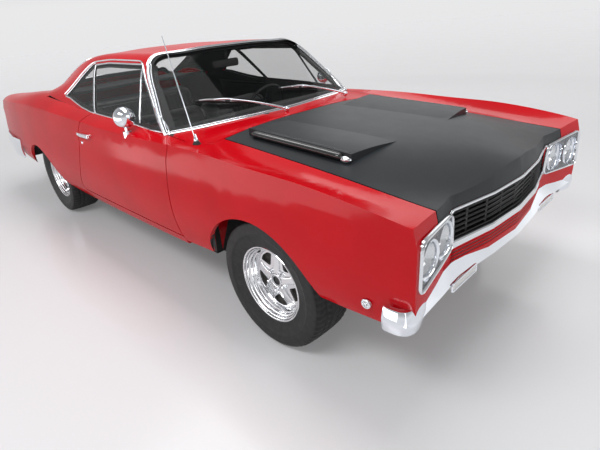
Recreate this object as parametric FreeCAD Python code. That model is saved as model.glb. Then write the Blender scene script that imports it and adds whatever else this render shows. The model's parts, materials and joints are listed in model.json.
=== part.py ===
import FreeCAD, Part
import math
import os

# A two-door hardtop coupe. The origin is on the ground at the middle of the length.
# +X points forward, +Y to the car's left and +Z up. All lengths are in mm.

# overall body
length = 5149.0
half_width = 970.5
height = 1400.0
wheelbase = 2946.0
front_overhang = 820.0

# panels and gaps
skin = 22.0
door_wall = 108.0
roof_wall = 34.0
roof_header = 102.0
gap = 7.0
overrun = 300.0
pane_inset = 5.0
pane_wall = 6.0

# wheels
tyre_radius = 340.0
front_tyre_width = 243.0
rear_tyre_width = 254.0
tyre_shoulder = 26.0
tread_chamfer = 12.0
rim_lip_radius = 201.0
rim_lip_height = 13.0
rim_barrel_wall = 9.0
rim_well_depth = 19.5
rim_width = 203.0
front_track = 1536.0
rear_track = 1504.0
hub_radius = 66.0
hub_cap_radius = 38.0
spoke_count = 5
spoke_width = 62.0
spoke_root_width = 84.0
spoke_depth = 26.0
spoke_face_inset = 52.0
hub_depth = 60.0
axle_pin_radius = 30.0
seat_gap = 0.3
front_arch_length = 383.0
front_arch_height = 361.0
front_arch_shift = 21.0
rear_arch_length = 370.0
rear_arch_height = 322.0
rear_arch_shift = 12.0

# steering
kingpin_half = 700.0
knuckle_height = 230.0
knuckle_wall = 46.0

# hood and its scoops
hood_rear_x = 1244.0
hood_front_half = 676.0
hood_rear_half = 654.0
hood_face_z = 795.0
scoop_rise = 38.0
scoop_rear_x = 1330.0
scoop_front_x = 2025.0
scoop_outer_half = 548.0
scoop_inner_half = 250.0

# cowl, cabin and trunk
cowl_rear_x = 830.0
cowl_half = 796.0
cowl_wall = 40.0
firewall_x = 1218.0
firewall_wall = 22.0
door_inner_half = 803.0
jamb_taper = 26.0
floor_z = 300.0
floor_wall = 14.0
tunnel_half = 165.0
tunnel_top = 470.0
cabin_rear_x = -1010.0
seat_riser_x = -530.0
trunk_floor_z = 500.0
tub_radius = 402.0
tub_wall = 14.0
tub_inner_half = 590.0
lid_front_x = -1670.0
lid_rear_x = -2410.0
lid_half = 660.0
lid_face_z = 760.0

# front end
fascia_half = 862.0
fascia_top_z = 805.0
fascia_depth = 130.0
fascia_low_z = 488.0
grille_half = 514.0
grille_top_z = 783.0
grille_low_z = 652.0
grille_depth = 26.0
grille_bar = 9.0
grille_bars = 5
grille_post = 12.0
grille_cells = 4
lamp_radius = 70.0
lamp_depth = 60.0
lamp_z = 712.0
inner_lamp_half = 616.0
outer_lamp_half = 778.0
bezel_wall = 8.0
bumper_top_z = 556.0
bumper_low_z = 482.0
bumper_wall = 14.0
bumper_depth = 92.0
rear_bumper_top_z = 640.0
rear_bumper_low_z = 455.0
rear_bumper_depth = 96.0
tail_lamp_width = 290.0
tail_lamp_height = 84.0
tail_lamp_middle = 600.0
tail_lamp_z = 556.0

plate_hole_radius = 3.2
plate_hole_spacing = 178.0
plate_hole_z = 720.0

# under the body
rail_width = 76.0
rail_height = 76.0
engine_length = 640.0
engine_half = 300.0
engine_low_z = 300.0
engine_top_z = 800.0
engine_front_x = 2040.0
gearbox_radius = 102.0
sump_half = 130.0
gearbox_length = 720.0
shaft_radius = 38.0
shaft_z = 300.0
axle_tube_radius = 42.0
diff_radius = 140.0
exhaust_radius = 29.0
exhaust_half = 250.0
exhaust_z = 235.0
muffler_radius = 58.0
muffler_length = 520.0
tank_length = 620.0
tank_half = 380.0
tank_height = 205.0
tank_setback = 114.0

# cabin fittings
seat_front_x = 590.0
seat_length = 500.0
seat_half = 640.0
seat_top_z = 560.0
seat_cushion = 210.0
seat_back_wall = 150.0
seat_back_top_z = 960.0
seat_back_lean = 150.0
rear_seat_front_x = -440.0
rear_seat_half = 560.0
rear_seat_top_z = 610.0
rear_seat_back_top_z = 1000.0
dash_rear_x = 790.0
dash_top_z = 958.0
dash_low_z = 700.0
dash_brow = 66.0
wheel_rim_radius = 190.0
wheel_rim_wall = 13.0
column_half = 370.0
column_rear_x = 450.0
column_rear_z = 860.0
column_slope = 24.0
column_radius = 24.0
cabin_mirror_x = 470.0
cabin_mirror_z = 1262.0
cabin_mirror_half = 115.0
cabin_mirror_height = 56.0
cabin_mirror_wall = 18.0

# outside fittings
mirror_x = 602.0
mirror_half = 896.0
mirror_z = 1058.0
mirror_radius = 63.0
mirror_flat = 26.0
mirror_stalk_radius = 12.0
mirror_foot_radius = 26.0
mirror_foot_height = 9.0
handle_x = -30.0
handle_z = 896.0
handle_length = 150.0
handle_height = 22.0
handle_reach = 26.0
antenna_x = 1190.0
antenna_half = 795.0
antenna_height = 560.0
antenna_radius = 2.5
antenna_base_radius = 14.0
antenna_base_height = 34.0
wiper_wall = 9.0
wiper_pivot_x = 1142.0
wiper_pivot_rise = 17.0
wiper_pivot_radius = 13.0
wiper_right_y = -78.0
wiper_left_y = 508.0
wiper_blade_lift = 16.0
marker_x = 2360.0
marker_z = 519.0
marker_length = 74.0
marker_height = 34.0
parking_middle = 482.0
parking_length = 200.0
parking_height = 26.0
parking_z = 482.0
parking_front_x = 2544.0
parking_depth = 44.0

# hinge brackets
bracket_width = 70.0
bracket_reach = 46.0
bracket_drop = 60.0
hood_bracket_half = 520.0
lid_bracket_half = 450.0

# suspension and engine bay
engine_mount_half = 230.0
engine_mount_width = 60.0
rear_spring_half = 380.0
spring_radius = 55.0
arm_wall = 34.0
radiator_x = 2300.0
radiator_half = 330.0
radiator_wall = 60.0
radiator_low_z = 440.0
radiator_top_z = 820.0
apron_half = 452.0
apron_wall = 18.0
apron_low_z = 430.0
cross_front_x = 1850.0
cross_wall = 110.0

# Body lines at stations along the car: place, crease, belt, top, widest, sill and valley.
# Places are shares of the length, widths of the half width, heights of the height.
station_shares = [
    (-0.5030, 0.8532, 0.6714, 0.845, 0.6821, 0.6871, 0.8841, 0.8192, 0.3071, 0.0),
    (-0.4700, 0.8758, 0.6843, 0.845, 0.7036, 0.7107, 0.9088, 0.8346, 0.2964, 0.0),
    (-0.3826, 0.9274, 0.7071, 0.845, 0.7357, 0.7429, 0.9603, 0.8707, 0.2786, 0.0),
    (-0.3049, 0.9490, 0.7143, 0.845, 0.7586, 0.7657, 0.9851, 0.8944, 0.2643, 0.0),
    (-0.2311, 0.9583, 0.7157, 0.845, 0.7714, 0.7750, 0.9974, 0.9067, 0.2500, 0.0),
    (-0.1496, 0.9572, 0.7093, 0.845, 0.7571, 0.7586, 0.9995, 0.9109, 0.2414, 0.0),
    (-0.0525, 0.9531, 0.6993, 0.845, 0.7343, 0.7357, 1.0000, 0.9129, 0.2393, 0.0),
    (0.0252, 0.9480, 0.6893, 0.845, 0.7214, 0.7214, 0.9985, 0.9129, 0.2414, 0.0),
    (0.1029, 0.9428, 0.6829, 0.845, 0.7107, 0.7107, 0.9954, 0.9129, 0.2464, 0.0),
    (0.2097, 0.9356, 0.6850, 0.800, 0.6821, 0.7036, 0.9851, 0.9119, 0.2571, 0.0),
    (0.2777, 0.9335, 0.6829, 0.700, 0.6714, 0.6986, 0.9768, 0.9088, 0.2714, 0.0),
    (0.3398, 0.9325, 0.6729, 0.690, 0.6564, 0.6914, 0.9686, 0.9067, 0.2857, 0.0),
    (0.3942, 0.9284, 0.6664, 0.690, 0.6414, 0.6814, 0.9572, 0.9026, 0.2964, 0.0),
    (0.4428, 0.9222, 0.6493, 0.690, 0.6243, 0.6607, 0.9397, 0.8944, 0.3036, 0.0057),
    (0.4816, 0.9109, 0.6275, 0.690, 0.6104, 0.6354, 0.9191, 0.8820, 0.3071, 0.0186),
    (0.5108, 0.8964, 0.6000, 0.690, 0.5993, 0.6157, 0.9006, 0.8676, 0.3071, 0.0186),
]
# How the side bulges between crease, widest line and sill.
side_top_share = 0.55
side_top_height_share = 0.055
side_wide_height_share = 0.505
side_low_share = 0.985
side_low_height_share = 0.36
# Where the valleys beside the hood's raised middle lie, and how high the crown is there.
valley_half_share = 0.745
valley_rise_share = 0.50
# The cabin's upper part: place, belt width and height, window top, crown.
roof_shares = [
    (0.2291, 0.8243, 0.6857, 0.6615, 0.9464, 0.9821),
    (0.1029, 0.8470, 0.7036, 0.6615, 0.9536, 0.9957),
    (0.0058, 0.8532, 0.7143, 0.6646, 0.9543, 1.0000),
    (-0.0913, 0.8532, 0.7286, 0.6553, 0.9371, 0.9886),
    (-0.1690, 0.8449, 0.7500, 0.6306, 0.8821, 0.9329),
    (-0.2661, 0.8243, 0.7500, 0.5925, 0.7786, 0.8250),
    (-0.3632, 0.8037, 0.6893, 0.5667, 0.6714, 0.7143),
]
roof_skirt_share = 0.065
roof_bulge_share = 0.012
roof_rail_shares = [(0.925, 0.56), (0.74, 0.80), (0.40, 0.95)]
# Plan of the nose and the tail, from the middle outwards: place and half width.
nose_shares = [
    (0.4968, 0.0000),
    (0.4930, 0.2576),
    (0.4828, 0.5255),
    (0.4890, 0.6955),
    (0.4958, 0.9067),
    (0.4958, 1.2000),
]
# How far the hood's front face leans back for its height.
face_lean_share = 0.26
tail_shares = [
    (-0.4836, 0.0000),
    (-0.4826, 0.4637),
    (-0.4778, 0.9067),
    (-0.4778, 1.2000),
]
# Bumper paths in plan, from the middle outwards: place, half width, share of the depth.
bumper_shares = [
    (0.5000, 0.0000, 1.0),
    (0.4972, 0.2576, 1.0),
    (0.4917, 0.5204, 1.0),
    (0.4945, 0.6801, 1.0),
    (0.4970, 0.8950, 0.8),
    (0.4940, 0.9480, 0.42),
    (0.4768, 0.9640, 0.32),
]
rear_bumper_shares = [
    (-0.5000, 0.0000, 1.0),
    (-0.4990, 0.4637, 1.0),
    (-0.4950, 0.8300, 1.0),
    (-0.4900, 0.8980, 0.75),
    (-0.4750, 0.9380, 0.40),
    (-0.3900, 1.0000, 0.32),
    (-0.3400, 1.0000, 0.32),
]
# Bumper section: depth behind the crease and height, from back top round to back low.
bumper_section_shares = [(1.00, 0.96), (0.42, 1.00), (0.0, 0.35), (0.50, 0.0), (0.90, 0.06)]
rear_bumper_section_shares = [(1.00, 0.96), (0.42, 1.00), (0.0, 0.50), (0.25, 0.0), (0.75, 0.06)]
# Side view of the door and of the side window: shares of the length and the height.
door_shares = [
    (0.2101, 0.3036),
    (0.2101, 0.6429),
    (0.2101, 0.7571),
    (-0.0156, 0.7571),
    (-0.0156, 0.7071),
    (-0.0185, 0.6643),
    (-0.0179, 0.6000),
    (-0.0233, 0.5286),
    (-0.0350, 0.4500),
    (-0.0505, 0.3786),
    (-0.0612, 0.3286),
    (-0.0641, 0.3036),
]
side_window_shares = [
    (0.1816, 0.6643),
    (0.0942, 0.9521),
    (-0.0039, 0.9557),
    (-0.0602, 0.9429),
    (-0.0913, 0.8729),
    (-0.1234, 0.7821),
    (-0.1030, 0.7771),
    (-0.0797, 0.7614),
    (-0.0525, 0.7429),
    (-0.0136, 0.7250),
    (0.0058, 0.7000),
]
glass_split_shares = [(-0.0020, 0.70), (-0.0525, 0.965)]
# Windscreen lines in plan at two heights: middle place, corner place, corner half width.
screen_shares = [
    (0.643, 0.2307, 0.1911, 0.824),
    (1.072, 0.0825, 0.0718, 0.610),
]
backlight_shares = [(-0.1202, 0.575), (-0.2662, 0.640)]
# Wiper blades at rest: both ends as shares of length, half width and height.
right_blade_shares = [(0.16392, -0.56260, 0.78286), (0.19324, -0.21020, 0.74000)]
left_blade_shares = [(0.18431, 0.03812, 0.77429), (0.18567, 0.43998, 0.73714)]
# Frame rails seen from above: place of the length, of the half width, of the height.
rail_shares = [
    (0.4458, 0.40, 0.262),
    (0.2758, 0.40, 0.240),
    (0.2400, 0.50, 0.186),
    (0.1958, 0.640, 0.180),
    (-0.1242, 0.640, 0.180),
    (-0.1592, 0.52, 0.260),
    (-0.2092, 0.50, 0.325),
    (-0.2642, 0.50, 0.325),
    (-0.3142, 0.52, 0.280),
    (-0.4592, 0.52, 0.280),
]

front_axle_x = length / 2 - front_overhang
rear_axle_x = front_axle_x - wheelbase
made = {}


def vec(x, y, z):
    return FreeCAD.Vector(x, y, z)


def box(x0, x1, y0, y1, z0, z1):
    return Part.makeBox(x1 - x0, y1 - y0, z1 - z0, vec(x0, y0, z0))


def rod(start, end, radius):
    along = end.sub(start)
    return Part.makeCylinder(radius, along.Length, start, along)


def line(a, b):
    return Part.makeLine(a, b)


def curve(points):
    c = Part.BSplineCurve()
    c.interpolate(points)
    return c.toShape()


def mirrored(shape):
    return shape.mirror(vec(0, 0, 0), vec(0, 1, 0))


def both(shape):
    return Part.makeCompound([shape, mirrored(shape)])


def slab_xz(points, y0, y1):
    """A side-view outline pushed across the car."""
    ring = [vec(x, y0, z) for x, z in points]
    face = Part.Face(Part.makePolygon(ring + [ring[0]]))
    return face.extrude(vec(0, y1 - y0, 0))


def slab_xy(points, z0, z1):
    """A plan outline pushed upwards."""
    ring = [vec(x, y, z0) for x, y in points]
    face = Part.Face(Part.makePolygon(ring + [ring[0]]))
    return face.extrude(vec(0, 0, z1 - z0))


def tapered_xz(near, far, y0, y1):
    """A side-view outline that changes between two planes across the car."""
    a = Part.makePolygon([vec(x, y0, z) for x, z in near + [near[0]]])
    b = Part.makePolygon([vec(x, y1, z) for x, z in far + [far[0]]])
    return Part.makeLoft([a, b], True, True)


def solids(shape):
    found = shape.Solids
    if len(found) == 1:
        return found[0]
    return Part.makeCompound(found)


def keep(name, shape):
    made[name] = solids(shape)


def body_ring(station, inset):
    """One cross-section of the body below the belt, drawn inset from the skin."""
    share_x, cy, cz, by, bz, tz, my, sy, sz, dip = station
    x = share_x * length
    crease_y = cy * half_width - inset
    crease_z = cz * height - inset
    belt_y = min(by * half_width, crease_y - skin)
    belt_z = bz * height - inset
    top_z = tz * height - inset
    wide_y = my * half_width - inset
    sill_y = sy * half_width - inset
    low_z = sz * height
    if inset > 0:
        low_z = low_z - overrun
    lift = side_top_height_share * height
    upper_y = crease_y + (wide_y - crease_y) * side_top_share
    lower_y = wide_y * side_low_share
    near_y = belt_y * valley_half_share
    near_z = belt_z + (top_z - belt_z) * valley_rise_share - dip * height
    top = curve([
        vec(x, -crease_y, crease_z),
        vec(x, -belt_y, belt_z),
        vec(x, -near_y, near_z),
        vec(x, 0, top_z),
        vec(x, near_y, near_z),
        vec(x, belt_y, belt_z),
        vec(x, crease_y, crease_z),
    ])
    ridge = vec(x, upper_y, crease_z - lift)
    left_top = line(vec(x, crease_y, crease_z), ridge)
    left = curve([
        ridge,
        vec(x, wide_y, side_wide_height_share * height),
        vec(x, lower_y, side_low_height_share * height),
        vec(x, sill_y, low_z),
    ])
    right = curve([
        vec(x, -sill_y, low_z),
        vec(x, -lower_y, side_low_height_share * height),
        vec(x, -wide_y, side_wide_height_share * height),
        vec(x, -upper_y, crease_z - lift),
    ])
    right_top = line(vec(x, -upper_y, crease_z - lift), vec(x, -crease_y, crease_z))
    low = line(vec(x, sill_y, low_z), vec(x, -sill_y, low_z))
    return Part.Wire([top, left_top, left, low, right, right_top])


def plan_prism(inset):
    """The outline of nose and tail from above, pushed up past the body."""
    front = [(sx * length - inset, sy * half_width) for sx, sy in nose_shares]
    rear = [(sx * length + inset, sy * half_width) for sx, sy in tail_shares]
    ring = front + rear[::-1]
    ring = ring + [(x, -y) for x, y in rear[1:]] + [(x, -y) for x, y in front[::-1][:-1]]
    upright = slab_xy(ring, -overrun, height + overrun)
    rise = height + overrun * 2
    shift = face_lean_share * (hood_face_z + overrun)
    far = [(x + shift, y) for x, y in front]
    ring = [(-length, 0)] + [(-length, far[-1][1])] + far[::-1]
    ring = ring + [(x, -y) for x, y in far[1:]] + [(-length, -far[-1][1])]
    points = [vec(x, y, -overrun) for x, y in ring]
    face = Part.Face(Part.makePolygon(points + [points[0]]))
    leaning = face.extrude(vec(-face_lean_share * rise, 0, rise))
    return upright.common(leaning)


def body(inset):
    rings = [body_ring(s, inset) for s in station_shares]
    whole = Part.makeLoft(rings, True, False)
    return whole.common(plan_prism(inset))


def roof_ring(station, inset):
    share_x, by, bz, wy, wz, cz = station
    x = share_x * length
    if station == roof_shares[0]:
        x = x + inset
    if station == roof_shares[-1]:
        x = x - inset
    belt_y = by * half_width - inset
    belt_z = bz * height
    top_y = wy * half_width - inset
    top_z = wz * height - inset / 2
    crown_z = cz * height - inset
    bulge = roof_bulge_share * half_width
    half = [vec(x, belt_y + bulge, belt_z - roof_skirt_share * height - inset)]
    half.append(vec(x, belt_y, belt_z))
    half.append(vec(x, (belt_y + top_y) / 2 + bulge, (belt_z + top_z) / 2))
    half.append(vec(x, top_y, top_z))
    for share_y, share_z in roof_rail_shares:
        half.append(vec(x, top_y * share_y, top_z + (crown_z - top_z) * share_z))
    crown = [vec(x, 0, crown_z)]
    other = [vec(p.x, -p.y, p.z) for p in half]
    arc = curve(other + crown + half[::-1])
    base = line(half[0], other[0])
    return Part.Wire([arc, base])


def screen_block(inset):
    """All that lies ahead of the windscreen's surface, moved back by an inset."""
    rings = []
    for share_z, mid, corner, share_y in screen_shares:
        z = share_z * height
        mid_x = mid * length - inset
        corner_x = corner * length - inset
        y = share_y * half_width
        slope = (mid_x - corner_x) * 2 / y
        far_y = y + overrun
        far_x = corner_x - slope * overrun
        arc = curve([
            vec(far_x, -far_y, z),
            vec(corner_x, -y, z),
            vec(mid_x, 0, z),
            vec(corner_x, y, z),
            vec(far_x, far_y, z),
        ])
        ahead = length
        rings.append(Part.Wire([
            arc,
            line(vec(far_x, far_y, z), vec(ahead, far_y, z)),
            line(vec(ahead, far_y, z), vec(ahead, -far_y, z)),
            line(vec(ahead, -far_y, z), vec(far_x, -far_y, z)),
        ]))
    return Part.makeLoft(rings, True, True)


def roof_block(inset, screen_inset):
    whole = Part.makeLoft([roof_ring(s, inset) for s in roof_shares], True, False)
    return whole.cut(screen_block(screen_inset))


def outline(shares):
    return [(sx * length, sz * height) for sx, sz in shares]


def arch_block(x, half_length, rise):
    """The oval room above and round an axle's wheels."""
    lying = rise > half_length
    ring = Part.Ellipse(vec(0, 0, 0), max(half_length, rise), min(half_length, rise)).toShape()
    face = Part.Face(Part.Wire([ring]))
    face.rotate(vec(0, 0, 0), vec(1, 0, 0), 90)
    if lying:
        face.rotate(vec(0, 0, 0), vec(0, 1, 0), 90)
    block = face.extrude(vec(0, 2 * (half_width + overrun), 0))
    return block.translated(vec(x, -half_width - overrun, tyre_radius))


def hood_slab(grow):
    front_x = length / 2
    rear_x = hood_rear_x - grow
    front_y = hood_front_half + grow
    rear_y = hood_rear_half + grow
    mid_x = nose_shares[3][0] * length
    ring = [
        (rear_x, -rear_y),
        (mid_x, -front_y),
        (front_x, -front_y),
        (front_x, front_y),
        (mid_x, front_y),
        (rear_x, rear_y),
    ]
    return slab_xy(ring, hood_face_z - grow, height)


def lid_slab(grow):
    top = slab_xy([
        (lid_front_x + grow, -lid_half - grow),
        (lid_front_x + grow, lid_half + grow),
        (lid_rear_x - grow, lid_half + grow),
        (lid_rear_x - grow, -lid_half - grow),
    ], lid_face_z, height)
    return top


def bracket(inner, fixed_x, edge_x, far_x, y, low_z):
    """A bracket that is held by one panel and carries the edge of the panel beside it."""
    held = box(min(fixed_x, edge_x), max(fixed_x, edge_x), y, y + bracket_width, low_z, height)
    reach = box(min(edge_x, far_x), max(edge_x, far_x), y, y + bracket_width, low_z, height)
    part = held.common(inner).fuse(reach.common(inner.translated(vec(0, 0, -seat_gap))))
    return both(part)


def scoop_pad(outer):
    """The left wedge on the hood, as the body's top tipped up about a line along the car."""
    base_z = skin_z(outer, scoop_front_x, scoop_inner_half)
    tip = math.degrees(math.atan2(scoop_rise, scoop_outer_half - scoop_inner_half))
    tipped = outer.copy()
    tipped.rotate(vec(0, scoop_inner_half, base_z), vec(1, 0, 0), tip)
    ring = [
        (scoop_rear_x, scoop_inner_half),
        (scoop_rear_x, scoop_outer_half),
        (scoop_front_x, scoop_outer_half),
        (scoop_front_x + scoop_rise, scoop_inner_half),
    ]
    return tipped.common(slab_xy(ring, hood_face_z, height))


def door_slab(grow):
    """The left door's block, narrower at its inner face so that it swings clear."""
    points = outline(door_shares)
    front_x = points[0][0]
    rear_from = 3
    outer = []
    inner = []
    for i, (x, z) in enumerate(points):
        shift = grow if i < rear_from else -grow
        lift = -grow if i in (0, len(points) - 1) else 0
        taper = jamb_taper if i >= rear_from else 0
        outer.append((x + shift, z + lift))
        inner.append((x + shift + taper, z + lift))
    return tapered_xz(inner, outer, door_inner_half - grow, half_width + gap)


def rail(shares, width, tall):
    """A frame rail that follows places along the car."""
    parts = []
    for a, b in zip(shares[:-1], shares[1:]):
        ends = []
        for sx, sy, sz in (a, b):
            x = sx * length
            y = sy * half_width
            z = sz * height
            ring = [
                vec(x, y - width / 2, z - tall / 2),
                vec(x, y + width / 2, z - tall / 2),
                vec(x, y + width / 2, z + tall / 2),
                vec(x, y - width / 2, z + tall / 2),
            ]
            ends.append(Part.makePolygon(ring + [ring[0]]))
        parts.append(Part.makeLoft(ends, True, True))
    return parts[0].multiFuse(parts[1:])


def turned(points, centre, inner_side):
    """A ring turned about a wheel's axle from (across, radius) places."""
    ring = [vec(0, a, r) for a, r in points]
    face = Part.Face(Part.makePolygon(ring + [ring[0]]))
    shape = face.revolve(vec(0, 0, 0), vec(0, 1, 0), 360)
    if inner_side:
        shape = mirrored(shape)
    return shape.translated(centre)


def tyre(width, centre, right):
    half = width / 2
    seat = rim_width / 2 - rim_barrel_wall
    lip = rim_lip_radius
    low = lip - rim_lip_height
    top = tyre_radius
    mid = (lip + top) / 2
    points = [
        (-seat, low),
        (-seat - rim_lip_height / 2, lip + tread_chamfer / 2),
        (-half + tread_chamfer / 2, mid - tyre_shoulder / 2),
        (-half, mid),
        (-half + tread_chamfer / 3, top - tyre_shoulder),
        (-half + tyre_shoulder, top - tread_chamfer / 3),
        (0, top),
        (half - tyre_shoulder, top - tread_chamfer / 3),
        (half - tread_chamfer / 3, top - tyre_shoulder),
        (half, mid),
        (half - tread_chamfer / 2, mid - tyre_shoulder / 2),
        (seat + rim_lip_height / 2, lip + tread_chamfer / 2),
        (seat, low),
    ]
    return turned(points, centre, right)


def rim(centre, right):
    """A five-spoke wheel with a deep stepped lip, its face towards +Y."""
    half = rim_width / 2
    seat = half - rim_barrel_wall
    lip = rim_lip_radius
    low = lip - rim_lip_height
    well = low - rim_well_depth
    wall = rim_barrel_wall
    points = [
        (-seat, low),
        (-half, lip),
        (-half, lip - wall),
        (-seat, low - wall),
        (-seat / 2, well - wall),
        (seat / 2, well - wall),
        (seat, low - wall),
        (half, lip - wall),
        (half, lip),
        (seat, low),
        (seat / 2, well),
        (-seat / 2, well),
    ]
    ring = [vec(0, a, r) for a, r in points]
    barrel = Part.Face(Part.makePolygon(ring + [ring[0]])).revolve(
        vec(0, 0, 0), vec(0, 1, 0), 360)
    face_y = half - spoke_face_inset
    parts = [barrel]
    hub = rod(vec(0, face_y - hub_depth, 0), vec(0, face_y, 0), hub_radius)
    cap = rod(vec(0, face_y - hub_depth, 0), vec(0, face_y + wall, 0), hub_cap_radius)
    parts = [barrel, hub, cap]
    out = well - wall / 2
    for i in range(spoke_count):
        ring = [
            vec(-spoke_width / 2, face_y - spoke_depth, 0),
            vec(spoke_width / 2, face_y - spoke_depth, 0),
            vec(spoke_root_width / 2, face_y - spoke_depth, out),
            vec(-spoke_root_width / 2, face_y - spoke_depth, out),
        ]
        arm = Part.Face(Part.makePolygon(ring + [ring[0]])).extrude(vec(0, spoke_depth, 0))
        arm.rotate(vec(0, 0, 0), vec(0, 1, 0), 360 * i / spoke_count)
        parts.append(arm)
    shape = parts[0].multiFuse(parts[1:])
    bore = rod(vec(0, -half, 0), vec(0, face_y - hub_depth / 2, 0), axle_pin_radius + seat_gap)
    shape = shape.cut(bore)
    if right:
        shape = mirrored(shape)
    return shape.translated(centre)


def make_wheels():
    places = {
        "front_left": (front_axle_x, front_track / 2, front_tyre_width, False),
        "front_right": (front_axle_x, -front_track / 2, front_tyre_width, True),
        "rear_left": (rear_axle_x, rear_track / 2, rear_tyre_width, False),
        "rear_right": (rear_axle_x, -rear_track / 2, rear_tyre_width, True),
    }
    for name, (x, y, width, right) in places.items():
        centre = vec(x, y, tyre_radius)
        keep("tyre_" + name, tyre(width, centre, right))
        keep("rim_" + name, rim(centre, right))


def wheel_face_y(track):
    """Where the back of a wheel's hub lies."""
    return track / 2 + rim_width / 2 - spoke_face_inset - hub_depth


def make_axles():
    for side in (1, -1):
        hub_y = wheel_face_y(front_track)
        pin_end = hub_y + hub_depth / 2 - seat_gap
        z = tyre_radius
        x = front_axle_x
        post = box(x - knuckle_wall / 2, x + knuckle_wall / 2, kingpin_half - knuckle_wall,
                   kingpin_half, z - knuckle_height / 2, z + knuckle_height / 2)
        pin = rod(vec(x, kingpin_half - knuckle_wall / 2, z), vec(x, pin_end, z), axle_pin_radius)
        flange = rod(vec(x, kingpin_half - knuckle_wall / 2, z), vec(x, hub_y - seat_gap, z),
                     knuckle_height / 2 - gap)
        knuckle = post.multiFuse([pin, flange])
        if side < 0:
            knuckle = mirrored(knuckle)
        keep("knuckle_left" if side > 0 else "knuckle_right", knuckle)


def make_chassis():
    left = rail(rail_shares, rail_width, rail_height)
    cross = []
    for k in (0, 3, 4, 9):
        sx, sy, sz = rail_shares[k]
        x = sx * length
        z = sz * height
        y = sy * half_width
        low_z = z - rail_height / 2
        top_z = z + rail_height / 2
        if k in (3, 4):
            low_z = exhaust_z - exhaust_radius - gap - skin
            top_z = exhaust_z - exhaust_radius - gap
            for sign in (1, -1):
                near = min(sign * y, sign * (y - rail_width))
                cross.append(box(x, x + rail_width, near, near + rail_width, low_z, z))
        cross.append(box(x, x + rail_width, -y, y, low_z, top_z))
    whole = left.multiFuse([mirrored(left)] + cross)
    keep("chassis_frame", whole)


def make_floor(cavity):
    low = box(seat_riser_x, firewall_x, -cowl_half, cowl_half, floor_z, floor_z + floor_wall)
    tunnel = box(seat_riser_x, firewall_x, -tunnel_half, tunnel_half, floor_z, tunnel_top)
    hollow = box(seat_riser_x - overrun, firewall_x + overrun, -tunnel_half + floor_wall,
                 tunnel_half - floor_wall, floor_z - overrun, tunnel_top - floor_wall)
    riser = box(seat_riser_x - floor_wall, seat_riser_x, -cowl_half, cowl_half, floor_z,
                trunk_floor_z + floor_wall)
    rear_x = rail_shares[9][0] * length
    back = box(rear_x, seat_riser_x, -cowl_half, cowl_half, trunk_floor_z,
               trunk_floor_z + floor_wall)
    whole = low.multiFuse([tunnel, riser, back]).cut(hollow)
    tubs = []
    for side in (1, -1):
        axle = vec(rear_axle_x, side * tub_inner_half, tyre_radius)
        end = vec(rear_axle_x, side * half_width, tyre_radius)
        tubs.append(rod(axle, end, tub_radius + tub_wall))
    whole = whole.multiFuse(tubs)
    for side in (1, -1):
        axle = vec(rear_axle_x, side * (tub_inner_half + tub_wall), tyre_radius)
        end = vec(rear_axle_x, side * (half_width + overrun), tyre_radius)
        whole = whole.cut(rod(axle, end, tub_radius))
    whole = whole.cut(box(-length, length, -half_width, half_width, -overrun, floor_z))
    rear_low = box(-length, seat_riser_x - floor_wall, -half_width, half_width, -overrun, trunk_floor_z)
    whole = whole.cut(rear_low)
    keep("floor_pan", whole.common(cavity))


def ribbon(path, section, wall):
    """A thin bar with one section carried along a plan path and mitred at its bends."""
    full = [(x, -y, k) for x, y, k in path[::-1][:-1]] + list(path)
    rings = []
    count = len(full)
    for i, (x, y, k) in enumerate(full):
        normals = []
        for a, b in ((i - 1, i), (i, i + 1)):
            if a >= 0 and b < count:
                dx = full[b][0] - full[a][0]
                dy = full[b][1] - full[a][1]
                size = math.hypot(dx, dy)
                normals.append((dy / size, -dx / size))
        nx = sum(n[0] for n in normals) / len(normals)
        ny = sum(n[1] for n in normals) / len(normals)
        size = nx * nx + ny * ny
        nx = nx / size
        ny = ny / size
        if path[0][0] < 0:
            nx = -nx
            ny = -ny
        outer = [(depth * k, z) for depth, z in section]
        inner = inside(outer, wall)
        ring = []
        for depth, z in outer + inner[::-1]:
            ring.append(vec(x - nx * depth, y - ny * depth, z))
        rings.append(Part.makePolygon(ring + [ring[0]]))
    parts = []
    for a, b in zip(rings[:-1], rings[1:]):
        parts.append(Part.makeLoft([a, b], True, True))
    return parts[0].multiFuse(parts[1:])


def inside(points, wall):
    """An open line of points moved to its inner side by a wall."""
    moved = []
    count = len(points)
    for i, (d, z) in enumerate(points):
        steps = []
        for a, b in ((i - 1, i), (i, i + 1)):
            if a >= 0 and b < count:
                dd = points[b][0] - points[a][0]
                dz = points[b][1] - points[a][1]
                size = math.hypot(dd, dz)
                steps.append((-dz / size, dd / size))
        nd = sum(n[0] for n in steps) / len(steps)
        nz = sum(n[1] for n in steps) / len(steps)
        size = nd * nd + nz * nz
        moved.append((d + wall * nd / size, z + wall * nz / size))
    return moved


def bumper_path(shares):
    return [(sx * length, sy * half_width, k) for sx, sy, k in shares]


def section(shares, depth, low_z, top_z):
    return [(sd * depth, low_z + sz * (top_z - low_z)) for sd, sz in shares]


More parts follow.
